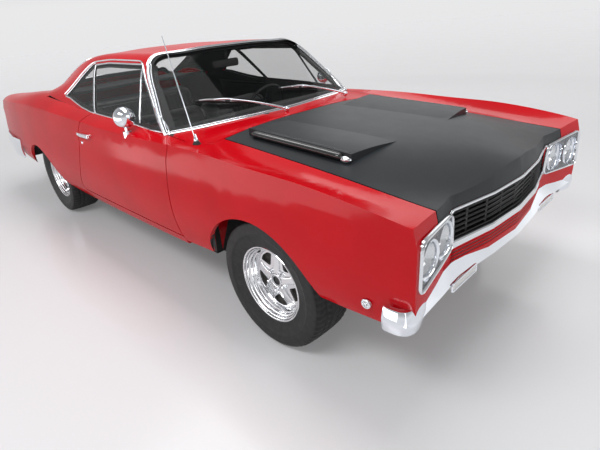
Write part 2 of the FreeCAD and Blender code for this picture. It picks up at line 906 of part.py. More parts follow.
def make_bumpers(outer):
    front = ribbon(bumper_path(bumper_shares), section(bumper_section_shares, bumper_depth, bumper_low_z, bumper_top_z), bumper_wall)
    keep("front_bumper", front.cut(outer))
    rear = ribbon(bumper_path(rear_bumper_shares),
                  section(rear_bumper_section_shares, rear_bumper_depth, rear_bumper_low_z, rear_bumper_top_z), bumper_wall)
    lamps = []
    for sign in (1, -1):
        near = min(sign * tail_lamp_middle - tail_lamp_width / 2, sign * tail_lamp_middle + tail_lamp_width / 2)
        hole = box(-length, -length / 2 + rear_bumper_depth, near, near + tail_lamp_width,
                   tail_lamp_z - tail_lamp_height / 2, tail_lamp_z + tail_lamp_height / 2)
        lens = rear.common(hole)
        rear = rear.cut(hole)
        lamps.append(solids(lens))
    keep("rear_bumper", rear.cut(outer))
    keep("tail_lamps", Part.makeCompound(lamps))


def make_engine():
    rear_x = engine_front_x - engine_length
    block = box(rear_x, engine_front_x, -engine_half, engine_half, engine_low_z + rail_height, engine_top_z)
    sump = box(rear_x, front_axle_x - cross_wall, -sump_half, sump_half, floor_z - rail_height,
               engine_low_z + rail_height)
    gear = rod(vec(rear_x - gearbox_length, 0, shaft_z + shaft_radius), vec(rear_x, 0, shaft_z + shaft_radius),
               gearbox_radius)
    keep("engine", block.multiFuse([sump, gear]))
    shaft = rod(vec(rear_axle_x, 0, tyre_radius), vec(rear_x - gearbox_length - seat_gap, 0, shaft_z + shaft_radius),
                shaft_radius)
    ball = Part.makeSphere(diff_radius, vec(rear_axle_x, 0, tyre_radius))
    end_y = wheel_face_y(rear_track) + hub_depth / 2 - seat_gap
    tube = rod(vec(rear_axle_x, -end_y + hub_depth, tyre_radius), vec(rear_axle_x, end_y - hub_depth, tyre_radius),
               axle_tube_radius)
    pin = rod(vec(rear_axle_x, -end_y, tyre_radius), vec(rear_axle_x, end_y, tyre_radius), axle_pin_radius)
    parts = [ball, tube, pin, shaft]
    for sign in (1, -1):
        drum_y = sign * (wheel_face_y(rear_track) - seat_gap)
        parts.append(rod(vec(rear_axle_x, drum_y - sign * knuckle_wall, tyre_radius),
                         vec(rear_axle_x, drum_y, tyre_radius), hub_radius * 2))
        parts.append(rod(vec(rear_axle_x, sign * rear_spring_half, tyre_radius),
                         vec(rear_axle_x, sign * rear_spring_half, trunk_floor_z), spring_radius))
        rail_y = sign * rear_spring_half
        parts.append(box(rear_axle_x, seat_riser_x, rail_y - arm_wall / 2, rail_y + arm_wall / 2,
                         floor_z - arm_wall, floor_z))
        parts.append(box(rear_axle_x - arm_wall, rear_axle_x + arm_wall, rail_y - arm_wall / 2,
                         rail_y + arm_wall / 2, floor_z - arm_wall, tyre_radius))
    keep("rear_axle", parts[0].multiFuse(parts[1:]))


def make_front_suspension():
    x = front_axle_x
    low_z = tyre_radius - knuckle_height / 2
    top_z = tyre_radius + knuckle_height / 2
    y = kingpin_half - knuckle_wall / 2 - gap
    rail_y = rail_shares[1][1] * half_width
    beam = box(x - cross_wall / 2, x + cross_wall / 2, -rail_y, rail_y, low_z - arm_wall, low_z + arm_wall)
    parts = [beam]
    for sign in (1, -1):
        for z in (low_z - arm_wall / 2 - seat_gap, top_z + arm_wall / 2 + seat_gap):
            wide = cross_wall if z < tyre_radius else cross_wall / 2
            ring = [
                (x - wide, sign * (rail_y - rail_width / 2)),
                (x + wide, sign * (rail_y - rail_width / 2)),
                (x + knuckle_wall / 2, sign * y),
                (x - knuckle_wall / 2, sign * y),
            ]
            parts.append(slab_xy(ring, z - arm_wall / 2, z + arm_wall / 2))
        parts.append(box(x - cross_wall / 2, x + cross_wall / 2, min(sign * rail_y, sign * (rail_y - rail_width)),
                         max(sign * rail_y, sign * (rail_y - rail_width)), low_z - arm_wall, top_z + arm_wall))
        mount_y = min(sign * engine_mount_half, sign * (engine_mount_half + engine_mount_width))
        parts.append(box(x - arm_wall, x + arm_wall, mount_y, mount_y + engine_mount_width, low_z,
                         engine_low_z + rail_height - seat_gap))
    keep("front_suspension", parts[0].multiFuse(parts[1:]).cut(made["chassis_frame"]))


def make_exhaust_and_tank():
    pipes = []
    front_x = engine_front_x - engine_length
    rear_x = rail_shares[9][0] * length - rail_width / 2
    for sign in (1, -1):
        y = sign * exhaust_half
        pipe = rod(vec(rear_x, y, exhaust_z), vec(front_x, y, exhaust_z), exhaust_radius)
        down = rod(vec(front_x, y, exhaust_z), vec(front_x, y, engine_low_z + rail_height), exhaust_radius)
        bend = Part.makeSphere(exhaust_radius * 1.2, vec(front_x, y, exhaust_z))
        can = rod(vec(seat_riser_x + muffler_length, y, exhaust_z), vec(seat_riser_x, y, exhaust_z),
                  muffler_radius)
        pipes.append(pipe.multiFuse([down, bend, can]))
    keep("exhaust", Part.makeCompound(pipes))
    tank_rear = rail_shares[9][0] * length + tank_setback
    tank = box(tank_rear, tank_rear + tank_length, -tank_half, tank_half, trunk_floor_z - tank_height,
               trunk_floor_z)
    keep("fuel_tank", tank)


def make_seats():
    front_x = seat_front_x
    rear_x = front_x - seat_length
    cushion = box(rear_x, front_x, -seat_half, seat_half, seat_top_z - seat_cushion, seat_top_z)
    cushion = cushion.cut(box(rear_x - overrun, front_x + overrun, -tunnel_half - gap, tunnel_half + gap,
                              floor_z, tunnel_top + gap))
    feet = []
    for sign in (1, -1):
        y = sign * (seat_half + tunnel_half) / 2
        feet.append(box(rear_x + gap, front_x - seat_back_wall, y - seat_back_wall, y + seat_back_wall,
                        floor_z + floor_wall, seat_top_z - seat_cushion))
    back = slab_xz([
        (rear_x, seat_top_z - seat_cushion),
        (rear_x + seat_back_wall, seat_top_z - seat_cushion),
        (rear_x + seat_back_wall - seat_back_lean / 2, seat_back_top_z),
        (rear_x - seat_back_lean, seat_back_top_z),
        (rear_x - seat_back_lean / 2, seat_top_z - seat_cushion),
    ], -seat_half, seat_half)
    back = back.cut(box(rear_x - overrun, front_x + overrun, -tunnel_half - gap, tunnel_half + gap,
                        floor_z, tunnel_top + gap))
    keep("front_seat", cushion.multiFuse([back] + feet))
    low_z = trunk_floor_z + floor_wall
    back_x = cabin_rear_x + seat_back_lean
    cushion = box(back_x, rear_seat_front_x, -rear_seat_half, rear_seat_half, low_z, rear_seat_top_z)
    apron = box(seat_riser_x, rear_seat_front_x, -rear_seat_half, rear_seat_half, floor_z + floor_wall, low_z)
    apron = apron.cut(box(seat_riser_x - overrun, rear_seat_front_x + overrun, -tunnel_half - gap,
                          tunnel_half + gap, floor_z, tunnel_top + gap))
    back = slab_xz([
        (back_x - seat_back_wall, low_z),
        (back_x + seat_back_wall / 2, low_z),
        (back_x - seat_back_lean / 2, rear_seat_back_top_z),
        (back_x - seat_back_lean - seat_back_wall / 2, rear_seat_back_top_z),
    ], -rear_seat_half, rear_seat_half)
    keep("rear_seat", cushion.multiFuse([apron, back]))


def make_dash(inner):
    dash = slab_xz([
        (firewall_x - firewall_wall, dash_top_z),
        (dash_rear_x + seat_back_wall / 2, dash_top_z - skin),
        (dash_rear_x, dash_top_z - dash_brow),
        (dash_rear_x + seat_back_wall / 3, dash_low_z),
        (dash_rear_x + seat_back_wall, dash_low_z),
        (firewall_x - firewall_wall, dash_low_z + seat_back_wall),
    ], -cowl_half + cowl_wall, cowl_half - cowl_wall)
    slope = math.radians(column_slope)
    start = vec(column_rear_x, column_half, column_rear_z)
    run = dash_rear_x + seat_back_wall / 2 - column_rear_x
    end = vec(column_rear_x + run, column_half, column_rear_z - run * math.tan(slope))
    column = rod(start, end, column_radius)
    keep("dashboard", dash.fuse(column).common(inner))
    along = vec(-math.cos(slope), 0, math.sin(slope))
    centre = start.add(along * seat_gap)
    ring = Part.makeTorus(wheel_rim_radius, wheel_rim_wall, centre.add(along * (hub_cap_radius)), along)
    hub = rod(centre, centre.add(along * (hub_cap_radius + wheel_rim_wall)), hub_cap_radius)
    spokes = []
    middle = centre.add(along * hub_cap_radius)
    across = vec(0, 1, 0)
    up = along.cross(across)
    for angle in (0, 180, 270):
        a = math.radians(angle)
        way = across * math.cos(a) + up * math.sin(a)
        spokes.append(rod(middle, middle.add(way * wheel_rim_radius), wheel_rim_wall / 2 + seat_gap / 3))
    keep("steering_wheel", ring.multiFuse([hub] + spokes))


def make_cabin_mirror(roof_inner_z):
    stem = rod(vec(cabin_mirror_x, 0, cabin_mirror_z), vec(cabin_mirror_x, 0, roof_inner_z), antenna_base_radius / 2)
    plate = box(cabin_mirror_x - cabin_mirror_wall, cabin_mirror_x, -cabin_mirror_half, cabin_mirror_half,
                cabin_mirror_z - cabin_mirror_height / 2, cabin_mirror_z + cabin_mirror_height / 2)
    return stem.fuse(plate)


def skin_y(outer, x, z):
    """How far out the body's left side lies at a place."""
    probe = outer.common(line(vec(x, 0, z), vec(x, half_width + overrun, z)))
    return max(v.Point.y for v in probe.Vertexes)


def skin_z(outer, x, y):
    """How high the body's top lies at a place."""
    probe = outer.common(line(vec(x, y, floor_z), vec(x, y, height)))
    return max(v.Point.z for v in probe.Vertexes)


def make_outside(outer):
    head = Part.makeSphere(mirror_radius, vec(mirror_x, mirror_half, mirror_z))
    head = head.cut(box(-length, mirror_x - mirror_flat, 0, half_width * 2, 0, height))
    base_z = skin_z(outer, mirror_x, mirror_half)
    base = vec(mirror_x, mirror_half, base_z - mirror_foot_radius)
    stalk = rod(base, vec(mirror_x, mirror_half, mirror_z), mirror_stalk_radius)
    foot = rod(base, vec(mirror_x, mirror_half, base_z + mirror_foot_height), mirror_foot_radius)
    at_y = skin_y(outer, handle_x + handle_length / 2, handle_z)
    handle = box(handle_x, handle_x + handle_length, at_y - handle_reach, at_y + handle_reach,
                 handle_z - handle_height / 2, handle_z + handle_height / 2)
    mirror = head.multiFuse([stalk, foot]).cut(outer)
    keep("mirror_left", mirror)
    keep("mirror_right", mirrored(mirror))
    return handle


def make_small(outer):
    reach = antenna_base_radius
    places = [(0, 0), (reach, 0), (-reach, 0), (0, reach), (0, -reach)]
    base_z = max(skin_z(outer, antenna_x + dx, antenna_half + dy) for dx, dy in places) + seat_gap
    top = vec(antenna_x - antenna_height * 0.28, -antenna_half, base_z + antenna_height * 0.96)
    foot = vec(antenna_x, -antenna_half, base_z)
    mast = rod(foot, top, antenna_radius)
    base = Part.makeCone(antenna_base_radius, antenna_base_radius / 2, antenna_base_height, foot)
    keep("antenna", mast.fuse(base))
    lamps = []
    at_y = skin_y(outer, marker_x, marker_z)
    side = rod(vec(marker_x, at_y - handle_height, marker_z), vec(marker_x, at_y + handle_height / 2, marker_z),
               marker_height / 2).cut(outer)
    lamps.append(side)
    lamps.append(mirrored(side))
    low = box(parking_front_x - parking_depth, parking_front_x, parking_middle - parking_length / 2,
              parking_middle + parking_length / 2, parking_z, parking_z + parking_height)
    low = low.cut(made["front_bumper"]).cut(outer)
    low = max(low.Solids, key=lambda part: part.BoundBox.XMax)
    lamps.append(low)
    lamps.append(mirrored(low))
    keep("signal_lamps", Part.makeCompound(lamps))
    arms = []
    for y, ends in ((wiper_right_y, right_blade_shares), (wiper_left_y, left_blade_shares)):
        z = skin_z(outer, wiper_pivot_x, abs(y))
        top = vec(wiper_pivot_x, y, z + wiper_pivot_rise)
        post = rod(vec(wiper_pivot_x, y, z - skin / 2), top, wiper_pivot_radius)
        places = []
        for sx, sy, sz in ends:
            places.append(vec(sx * length, sy * half_width, sz * height + wiper_blade_lift))
        middle = (places[0] + places[1]) / 2
        blade = rod(places[0], places[1], wiper_wall / 2)
        arm = rod(top.add(vec(0, 0, -wiper_wall)), middle, wiper_wall / 2)
        arms.append(post.multiFuse([arm, blade]).cut(outer))
    keep("wipers", Part.makeCompound(arms))


def make_bay():
    apron = box(firewall_x, radiator_x + radiator_wall, apron_half - apron_wall, apron_half, apron_low_z,
                radiator_top_z)
    arms = box(front_axle_x - cross_wall - gap, front_axle_x + cross_wall + gap, 0, half_width, 0,
               tyre_radius + knuckle_height / 2 + arm_wall + gap)
    keep("inner_fenders", both(apron.cut(arms)))
    core = box(radiator_x, radiator_x + radiator_wall, -radiator_half, radiator_half, radiator_low_z,
               radiator_top_z)
    brace = box(radiator_x, radiator_x + radiator_wall, -apron_half + apron_wall, apron_half - apron_wall,
                radiator_low_z - radiator_wall, radiator_low_z)
    keep("radiator", core.fuse(brace).cut(made["chassis_frame"]))


def build():
    outer = body(0)
    inner = body(skin)
    door_inner = body(door_wall)
    shell = outer.cut(inner)
    thick = outer.cut(door_inner)
    roof_outer = roof_block(0, 0)
    roof_inner = roof_block(roof_wall, roof_header)
    pane_outer = roof_block(pane_inset, pane_inset)
    pane_inner = roof_block(pane_inset + pane_wall, pane_inset + pane_wall)

    doors_grown = door_slab(gap)
    doors_grown = Part.makeCompound([doors_grown, mirrored(doors_grown)])
    door_cut = door_slab(0)
    front_wheel = arch_block(front_axle_x - front_arch_shift, front_arch_length, front_arch_height)
    rear_wheel = arch_block(rear_axle_x - rear_arch_shift, rear_arch_length, rear_arch_height)

    # hood
    hood_wide = hood_slab(gap / 2)
    hood_cut = hood_slab(-gap / 2)
    hood = shell.common(hood_cut)
    pad = scoop_pad(outer).cut(inner)
    hood = hood.multiFuse([pad, mirrored(pad)])
    keep("hood", hood)

    # fenders and the front panel
    front_of_door = box(door_shares[0][0] * length, length, -half_width, half_width, 0, height)
    fascia_ring = []
    for sx, sy in nose_shares:
        fascia_ring.append((sx * length + skin, min(sy * half_width, fascia_half)))
    fascia_ring = fascia_ring[:-1]
    back_ring = [(x - fascia_depth - skin, y) for x, y in fascia_ring[::-1]]
    ring = fascia_ring + back_ring + [(x, -y) for x, y in back_ring[::-1][1:]]
    ring = ring + [(x, -y) for x, y in fascia_ring[::-1][:-1]]
    fascia_zone = slab_xy(ring, 0, fascia_top_z)
    under_fascia = slab_xy(ring, 0, fascia_low_z)
    fenders = shell.common(front_of_door).cut(hood_wide).cut(front_wheel).cut(doors_grown)
    cowl_zone = box(0, hood_rear_x, -cowl_half, cowl_half, 0, height)
    fender_front = fenders.cut(cowl_zone).cut(fascia_zone)
    middle = box(0, length, -hood_rear_half + gap, hood_rear_half - gap, 0, height)
    keep("front_fenders", fender_front.cut(middle))

    # the front panel under the hood's face
    panel = shell.common(fascia_zone).cut(hood_wide).cut(under_fascia)
    window = box(0, length, -grille_half, grille_half, grille_low_z, grille_top_z)
    panel = panel.cut(window)
    lamps = []
    bezels = []
    for y in (inner_lamp_half, outer_lamp_half):
        front_x = lamp_front(y)
        for sign in (1, -1):
            a = vec(front_x - lamp_depth, sign * y, lamp_z)
            b = vec(front_x, sign * y, lamp_z)
            far = vec(length / 2, sign * y, lamp_z)
            panel = panel.cut(rod(vec(front_x - fascia_depth, sign * y, lamp_z), far, lamp_radius + bezel_wall))
            lamps.append(rod(a, b, lamp_radius))
            ring = rod(a, vec(b.x + bezel_wall, b.y, b.z), lamp_radius + bezel_wall)
            bezels.append(ring.cut(rod(a, far, lamp_radius)))
    panel = panel.multiFuse(bezels)
    keep("front_panel", panel)
    keep("headlamps", Part.makeCompound(lamps))

    # grille
    bars = []
    step = (grille_top_z - grille_low_z) / (grille_bars + 1)
    lap = grille_post
    grille_ring = grille_plan(skin)
    for i in range(grille_bars):
        z = grille_low_z + step * (i + 1)
        bars.append(slab_xy(grille_ring, z - grille_bar / 2, z + grille_bar / 2))
    full = slab_xy(grille_ring, grille_low_z - lap, grille_top_z + lap)
    frame = full.cut(box(0, length, -grille_half + lap / 2, grille_half - lap / 2, grille_low_z, grille_top_z))
    posts = []
    for k in range(-4, 5):
        y = k * grille_half / grille_cells
        lo = max(y - grille_post / 2, -grille_half)
        hi = min(y + grille_post / 2, grille_half)
        posts.append(full.common(box(0, length, lo, hi, 0, height)))
    keep("grille", frame.multiFuse(bars + posts))

    # cowl and firewall
    cowl = shell.common(box(cowl_rear_x, hood_rear_x - gap / 2, -cowl_half, cowl_half, hood_face_z, height))
    base_z = floor_z + floor_wall
    wall = box(firewall_x - firewall_wall, firewall_x, -cowl_half, cowl_half, base_z, height)
    wall = wall.common(inner)
    sides = box(cowl_rear_x, firewall_x, cowl_half - cowl_wall, cowl_half, base_z, height).common(inner)
    cowl = cowl.multiFuse([wall, sides, mirrored(sides)])
    cowl = cowl.cut(box(0, length, -tunnel_half, tunnel_half, 0, tunnel_top))
    edge_x = hood_rear_x - gap / 2
    low_z = skin_z(outer, edge_x, hood_bracket_half) - skin - bracket_drop
    cowl = cowl.fuse(bracket(inner, firewall_x - firewall_wall, edge_x, edge_x + bracket_reach, hood_bracket_half,
                             low_z))
    keep("cowl", cowl)

    # doors
    door = thick.common(door_cut)
    door = door.fuse(make_outside(outer).cut(inner))
    keep("door_left", door)
    keep("door_right", mirrored(door))
    make_bumpers(outer)
    make_dash(inner)
    make_small(outer)

    # rear body
    behind = box(-length, door_shares[0][0] * length - gap / 2, -half_width, half_width, 0, height)
    sides = shell.common(behind).cut(doors_grown)
    rocker = thick.common(behind).cut(doors_grown)
    rocker = rocker.common(box(cabin_rear_x, length, -half_width, half_width, 0, door_shares[0][1] * height - gap))
    rocker = rocker.cut(box(-length, length, -cowl_half, cowl_half, 0, height))
    cabin_open = box(cabin_rear_x, length, -cowl_half - skin, cowl_half + skin, floor_z, height)
    sides = sides.cut(cabin_open)
    quarter = sides.fuse(rocker).cut(rear_wheel).cut(lid_slab(gap / 2))
    deck_zone = box(-length, cabin_rear_x, -lid_half - gap / 2, lid_half + gap / 2, lid_face_z, height)
    deck_zone = deck_zone.cut(box(-length, lid_front_x, -half_width, half_width, 0, height))
    tail_zone = box(-length, lid_rear_x, -lid_half - gap / 2, lid_half + gap / 2, 0, height)
    quarters = quarter.cut(deck_zone).cut(tail_zone)
    keep("quarter_panels", quarters)
    tail = quarter.common(tail_zone)
    for sign in (1, -1):
        y = sign * plate_hole_spacing / 2
        hole = rod(vec(-length, y, plate_hole_z), vec(lid_rear_x, y, plate_hole_z), plate_hole_radius)
        tail = tail.cut(hole)
    deck = quarter.common(deck_zone)
    edge_x = lid_front_x + gap / 2
    low_z = skin_z(outer, edge_x, lid_bracket_half) - skin - bracket_drop
    deck = deck.fuse(bracket(inner, edge_x + bracket_reach, edge_x, edge_x - bracket_reach, lid_bracket_half, low_z))
    keep("rear_panels", Part.makeCompound([solids(deck), solids(tail)]))
    keep("trunk_lid", shell.common(lid_slab(-gap / 2)))

    # roof and glass
    window = slab_xz(outline(side_window_shares), -half_width, half_width)
    back_ring = [
        (backlight_shares[0][0] * length, backlight_shares[0][1] * half_width),
        (backlight_shares[1][0] * length, backlight_shares[1][1] * half_width),
        (backlight_shares[1][0] * length, -backlight_shares[1][1] * half_width),
        (backlight_shares[0][0] * length, -backlight_shares[0][1] * half_width),
    ]
    backlight = slab_xy(back_ring, 0, height + overrun)
    roof = roof_outer.cut(roof_inner).cut(window).cut(backlight)
    under_skin = Part.makeLoft([roof_ring(s, roof_wall) for s in roof_shares], True, False)
    screen_hole = screen_window().common(under_skin)
    roof = roof.cut(screen_hole).cut(screen_block(pane_inset + pane_wall)).cut(outer)
    keep("roof", roof)
    keep("cabin_mirror", make_cabin_mirror(height).common(roof_inner))
    pane = pane_outer.cut(pane_inner)
    split = outline(glass_split_shares)
    grown = [(x, z) for x, z in outline(side_window_shares)]
    ahead = [
        (split[0][0] + gap / 2, split[0][1]),
        (split[1][0] + gap / 2, split[1][1]),
        (length / 2, split[1][1]),
        (length / 2, split[0][1]),
    ]
    astern = [
        (split[0][0] - gap / 2, split[0][1]),
        (split[1][0] - gap / 2, split[1][1]),
        (-length / 2, split[1][1]),
        (-length / 2, split[0][1]),
    ]
    inner_window = shrunk_window(gap)
    side = slab_xz(inner_window, 0, half_width)
    door_glass = pane.common(side).common(slab_xz(ahead, 0, half_width)).cut(outer)
    keep("door_glass_left", door_glass)
    keep("door_glass_right", mirrored(door_glass))
    side = slab_xz(outline(side_window_shares), 0, half_width)
    quarter_glass = pane.common(side).common(slab_xz(astern, 0, half_width)).cut(outer)
    back_glass = pane.common(backlight).cut(outer)
    screen = Part.makeLoft([roof_ring(s, pane_inset) for s in roof_shares], True, False)
    screen = screen.cut(screen_block(pane_inset)).common(screen_block(pane_inset + pane_wall)).cut(outer)
    keep("fixed_windows", Part.makeCompound([screen, back_glass, quarter_glass, mirrored(quarter_glass)]))

    make_floor(inner)
    return outer, inner


def lamp_front(y):
    """How far forward the nose's plan reaches at a distance from the middle."""
    places = [(sy * half_width, sx * length) for sx, sy in nose_shares]
    for (ya, xa), (yb, xb) in zip(places[:-1], places[1:]):
        if ya <= y <= yb:
            return xa + (xb - xa) * (y - ya) / (yb - ya) - bezel_wall
    return places[-1][1]


def grille_plan(recess):
    side_y = grille_half + grille_post
    points = [(sx * length, sy * half_width) for sx, sy in nose_shares if sy * half_width < side_y]
    front = [(x - recess, y) for x, y in points]
    last = lamp_front(side_y) + bezel_wall - recess
    front.append((last, side_y))
    back = [(x - grille_depth, y) for x, y in front[::-1]]
    ring = front + back
    ring = ring + [(x, -y) for x, y in back[::-1][1:]] + [(x, -y) for x, y in front[::-1][:-1]]
    clean = []
    for p in ring:
        if not clean or p != clean[-1]:
            clean.append(p)
    return clean


def screen_window():
    """The opening behind the windscreen, left between the pillars."""
    near = screen_shares[0]
    far = screen_shares[1]
    rings = []
    for share_z, mid, corner, share_y in (near, far):
        z = share_z * height
        y = share_y * half_width - roof_wall
        x = corner * length - roof_header
        ring = [vec(x, -y, z), vec(length, -y, z), vec(length, y, z), vec(x, y, z)]
        rings.append(Part.makePolygon(ring + [ring[0]]))
    return Part.makeLoft(rings, True, True)


def shrunk_window(amount):
    """The side window's outline drawn in from its edge all round."""
    points = outline(side_window_shares)
    n = len(points)
    area = 0
    for i in range(n):
        x0, z0 = points[i]
        x1, z1 = points[(i + 1) % n]
        area = area + x0 * z1 - x1 * z0
    turn = 1 if area > 0 else -1
    result = []
    for i in range(n):
        a = points[i - 1]
        b = points[i]
        c = points[(i + 1) % n]
        n1 = normal(a, b, turn)
        n2 = normal(b, c, turn)
        k = 1 + n1[0] * n2[0] + n1[1] * n2[1]
        result.append((b[0] + amount * (n1[0] + n2[0]) / k, b[1] + amount * (n1[1] + n2[1]) / k))
    return result


def normal(a, b, turn):
    dx = b[0] - a[0]
    dz = b[1] - a[1]
    size = math.hypot(dx, dz)
    return (-dz * turn / size, dx * turn / size)


def main():
    build()
    make_wheels()
    make_axles()
    make_chassis()
    make_engine()
    make_front_suspension()
    make_exhaust_and_tank()
    make_seats()
    make_bay()
    os.makedirs("parts", exist_ok=True)
    for name, shape in made.items():
        shape.exportStep("parts/" + name + ".step")


main()
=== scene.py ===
import json
import math

import bmesh
import bpy
from mathutils import Matrix, Vector
from mathutils.bvhtree import BVHTree


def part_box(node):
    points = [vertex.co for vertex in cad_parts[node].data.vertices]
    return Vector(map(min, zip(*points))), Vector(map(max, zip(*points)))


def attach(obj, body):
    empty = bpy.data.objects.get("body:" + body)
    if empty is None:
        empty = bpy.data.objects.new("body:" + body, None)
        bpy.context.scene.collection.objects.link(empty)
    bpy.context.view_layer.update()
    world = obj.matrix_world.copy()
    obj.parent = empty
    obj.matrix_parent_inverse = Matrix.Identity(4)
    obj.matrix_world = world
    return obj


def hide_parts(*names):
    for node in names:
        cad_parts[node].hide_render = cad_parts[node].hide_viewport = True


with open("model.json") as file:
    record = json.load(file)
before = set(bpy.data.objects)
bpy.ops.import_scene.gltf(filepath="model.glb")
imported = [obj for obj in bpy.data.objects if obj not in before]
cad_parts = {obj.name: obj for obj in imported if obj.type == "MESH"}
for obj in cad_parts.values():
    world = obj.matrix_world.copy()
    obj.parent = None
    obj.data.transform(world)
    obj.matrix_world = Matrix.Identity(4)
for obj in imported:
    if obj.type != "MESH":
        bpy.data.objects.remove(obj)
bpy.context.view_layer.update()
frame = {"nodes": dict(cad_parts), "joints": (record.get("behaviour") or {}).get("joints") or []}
nodes = frame["nodes"]
scene = bpy.context.scene

# places, read from the record
joints = {j["name"]: j for j in frame["joints"]}
PLACES = ("front_left", "front_right", "rear_left", "rear_right")
WHEELS = {place: joints["spin_" + place]["pos_m"][:2] for place in PLACES}
AXLE_XS = (WHEELS["front_left"][0], WHEELS["rear_left"][0])
AXLE_Z = joints["spin_front_left"]["pos_m"][2]
TYRE_R = 0.34
SIDES = ((-1, "right"), (1, "left"))
PANES = (("fixed_windows", "body"), ("door_glass_left", "door_left"), ("door_glass_right", "door_right"))
FORWARD, BACK, UP = Vector((1, 0, 0)), Vector((-1, 0, 0)), Vector((0, 0, 1))


# materials
def add(tree, kind, values=(), links=()):
    """A new shader node with its input values set and its inputs linked."""
    n = tree.nodes.new("ShaderNode" + kind)
    for key, value in dict(values).items():
        n.inputs[key].default_value = value
    for key, source in dict(links).items():
        tree.links.new(source, n.inputs[key])
    return n


def material(name, color, rough, metallic=0.0, coat=0.0, coat_rough=0.03):
    m = bpy.data.materials.new(name)
    m.use_nodes = True
    values = {"Base Color": (*color, 1), "Roughness": rough, "Metallic": metallic, "Coat Weight": coat,
              "Coat Roughness": coat_rough, "IOR": 1.5}
    for key, value in values.items():
        m.node_tree.nodes["Principled BSDF"].inputs[key].default_value = value
    m.diffuse_color = (*color, 1)
    return m


def tools(m):
    return m.node_tree, m.node_tree.nodes["Principled BSDF"]


def coords(t):
    n = t.nodes.get("Place") or add(t, "TexCoord")
    n.name = "Place"
    return n.outputs["Object"]


def noise(t, scale, detail=4):
    return add(t, "TexNoise", {"Scale": scale, "Detail": detail}, {"Vector": coords(t)}).outputs["Fac"]


def ramp(t, fac, stops):
    n = add(t, "ValToRGB", links={"Fac": fac})
    e = n.color_ramp.elements
    while len(e) < len(stops):
        e.new(0.5)
    for item, (pos, col) in zip(e, stops):
        item.position = pos
        item.color = (*col, 1)
    return n.outputs["Color"]


def spread(t, fac, low, high, socket=None, start=0.0, end=1.0):
    """Maps start to end onto low to high, into a socket if one is given."""
    values = {"From Min": start, "From Max": end, "To Min": low, "To Max": high}
    n = add(t, "MapRange", values, {"Value": fac})
    if socket:
        t.links.new(n.outputs["Result"], socket)
    return n.outputs["Result"]


def bump(t, b, fac, strength, distance):
    n = add(t, "Bump", {"Strength": strength, "Distance": distance}, {"Height": fac})
    t.links.new(n.outputs["Normal"], b.inputs["Normal"])


def paint(name, deep, bright, rough, coat, coat_rough, peel=0.05):
    """Painted metal: slight colour drift, fine orange peel under the clear coat."""
    m = material(name, bright, rough, 0.0, coat, coat_rough)
    t, b = tools(m)
    t.links.new(ramp(t, noise(t, 2.2, 3), [(0.35, deep), (0.65, bright)]), b.inputs["Base Color"])
    spread(t, noise(t, 14), rough - 0.03, rough + 0.04, b.inputs["Roughness"])
    bump(t, b, noise(t, 420, 2), peel, 0.0006)
    return m


def metal(name, color, rough, grain=0.03, scale=60.0):
    """Plated or polished metal with faint wear and haze."""
    m = material(name, color, rough, 1.0)
    t, b = tools(m)
    worn = tuple(c * 0.94 for c in color)
    t.links.new(ramp(t, noise(t, 5), [(0.3, worn), (0.7, color)]), b.inputs["Base Color"])
    spread(t, noise(t, scale, 5), rough * 0.7, rough * 1.5, b.inputs["Roughness"])
    bump(t, b, noise(t, scale * 3, 3), grain, 0.001)
    return m


def plain(name, dark, light, rough, scale=30.0, strength=0.2, distance=0.001, metallic=0.0):
    """Plastic, rubber, iron or undercoat with mottled colour and fine grain."""
    m = material(name, light, rough, metallic)
    t, b = tools(m)
    t.links.new(ramp(t, noise(t, scale, 5), [(0.35, dark), (0.65, light)]), b.inputs["Base Color"])
    spread(t, noise(t, scale * 0.6), rough - 0.08, min(rough + 0.08, 1.0), b.inputs["Roughness"])
    bump(t, b, noise(t, scale * 14, 3), strength, distance)
    return m


def glass(name, tint, share):
    """Thin tinted glass: part clear, part tint, with a mirror-like surface."""
    m = material(name, tint, 0.02)
    t, b = tools(m)
    spread(t, noise(t, 3, 3), share * 0.92, min(share * 1.08, 1.0), b.inputs["Alpha"])
    m.diffuse_color = (*tint, share)
    return m


def lens(name, color, rough):
    """Coloured lamp glass with fine ribs."""
    m = material(name, color, rough, 0.0, 1.0, 0.02)
    t, b = tools(m)
    w = add(t, "TexWave", {"Scale": 90}, {"Vector": coords(t)})
    w.bands_direction = "Z"
    bump(t, b, w.outputs["Fac"], 0.35, 0.002)
    return m


def vinyl():
    m = plain("vinyl_black", (0.010, 0.010, 0.011), (0.021, 0.021, 0.023), 0.40, 26, 0.2, 0.0008)
    t, b = tools(m)
    v = add(t, "TexVoronoi", {"Scale": 320}, {"Vector": coords(t)})
    bump(t, b, v.outputs["Distance"], 0.35, 0.0012)
    b.inputs["Sheen Weight"].default_value = 0.08
    return m


red = paint("body_red", (0.54, 0.0012, 0.006), (0.62, 0.0016, 0.008), 0.45, 0.48, 0.12)
hood_black = paint("hood_black", (0.018, 0.021, 0.0235), (0.023, 0.0265, 0.030), 0.44, 0.06, 0.3, peel=0.12)
gloss_black = paint("gloss_black", (0.006, 0.006, 0.007), (0.010, 0.010, 0.011), 0.22, 0.9, 0.06)
chrome = metal("chrome", (0.84, 0.87, 0.92), 0.045, 0.015, 40)
steel = metal("bright_trim", (0.80, 0.82, 0.85), 0.13, 0.03, 70)
polished = metal("polished_alloy", (0.80, 0.81, 0.83), 0.10, 0.05, 90)
cast = metal("cast_alloy", (0.48, 0.49, 0.51), 0.34, 0.25, 130)
exhaust_steel = metal("exhaust_steel", (0.36, 0.34, 0.32), 0.38, 0.2, 60)
tank_steel = metal("tank_steel", (0.42, 0.42, 0.43), 0.45, 0.2, 40)
reflector = metal("lamp_reflector", (0.82, 0.84, 0.86), 0.12, 0.2, 120)
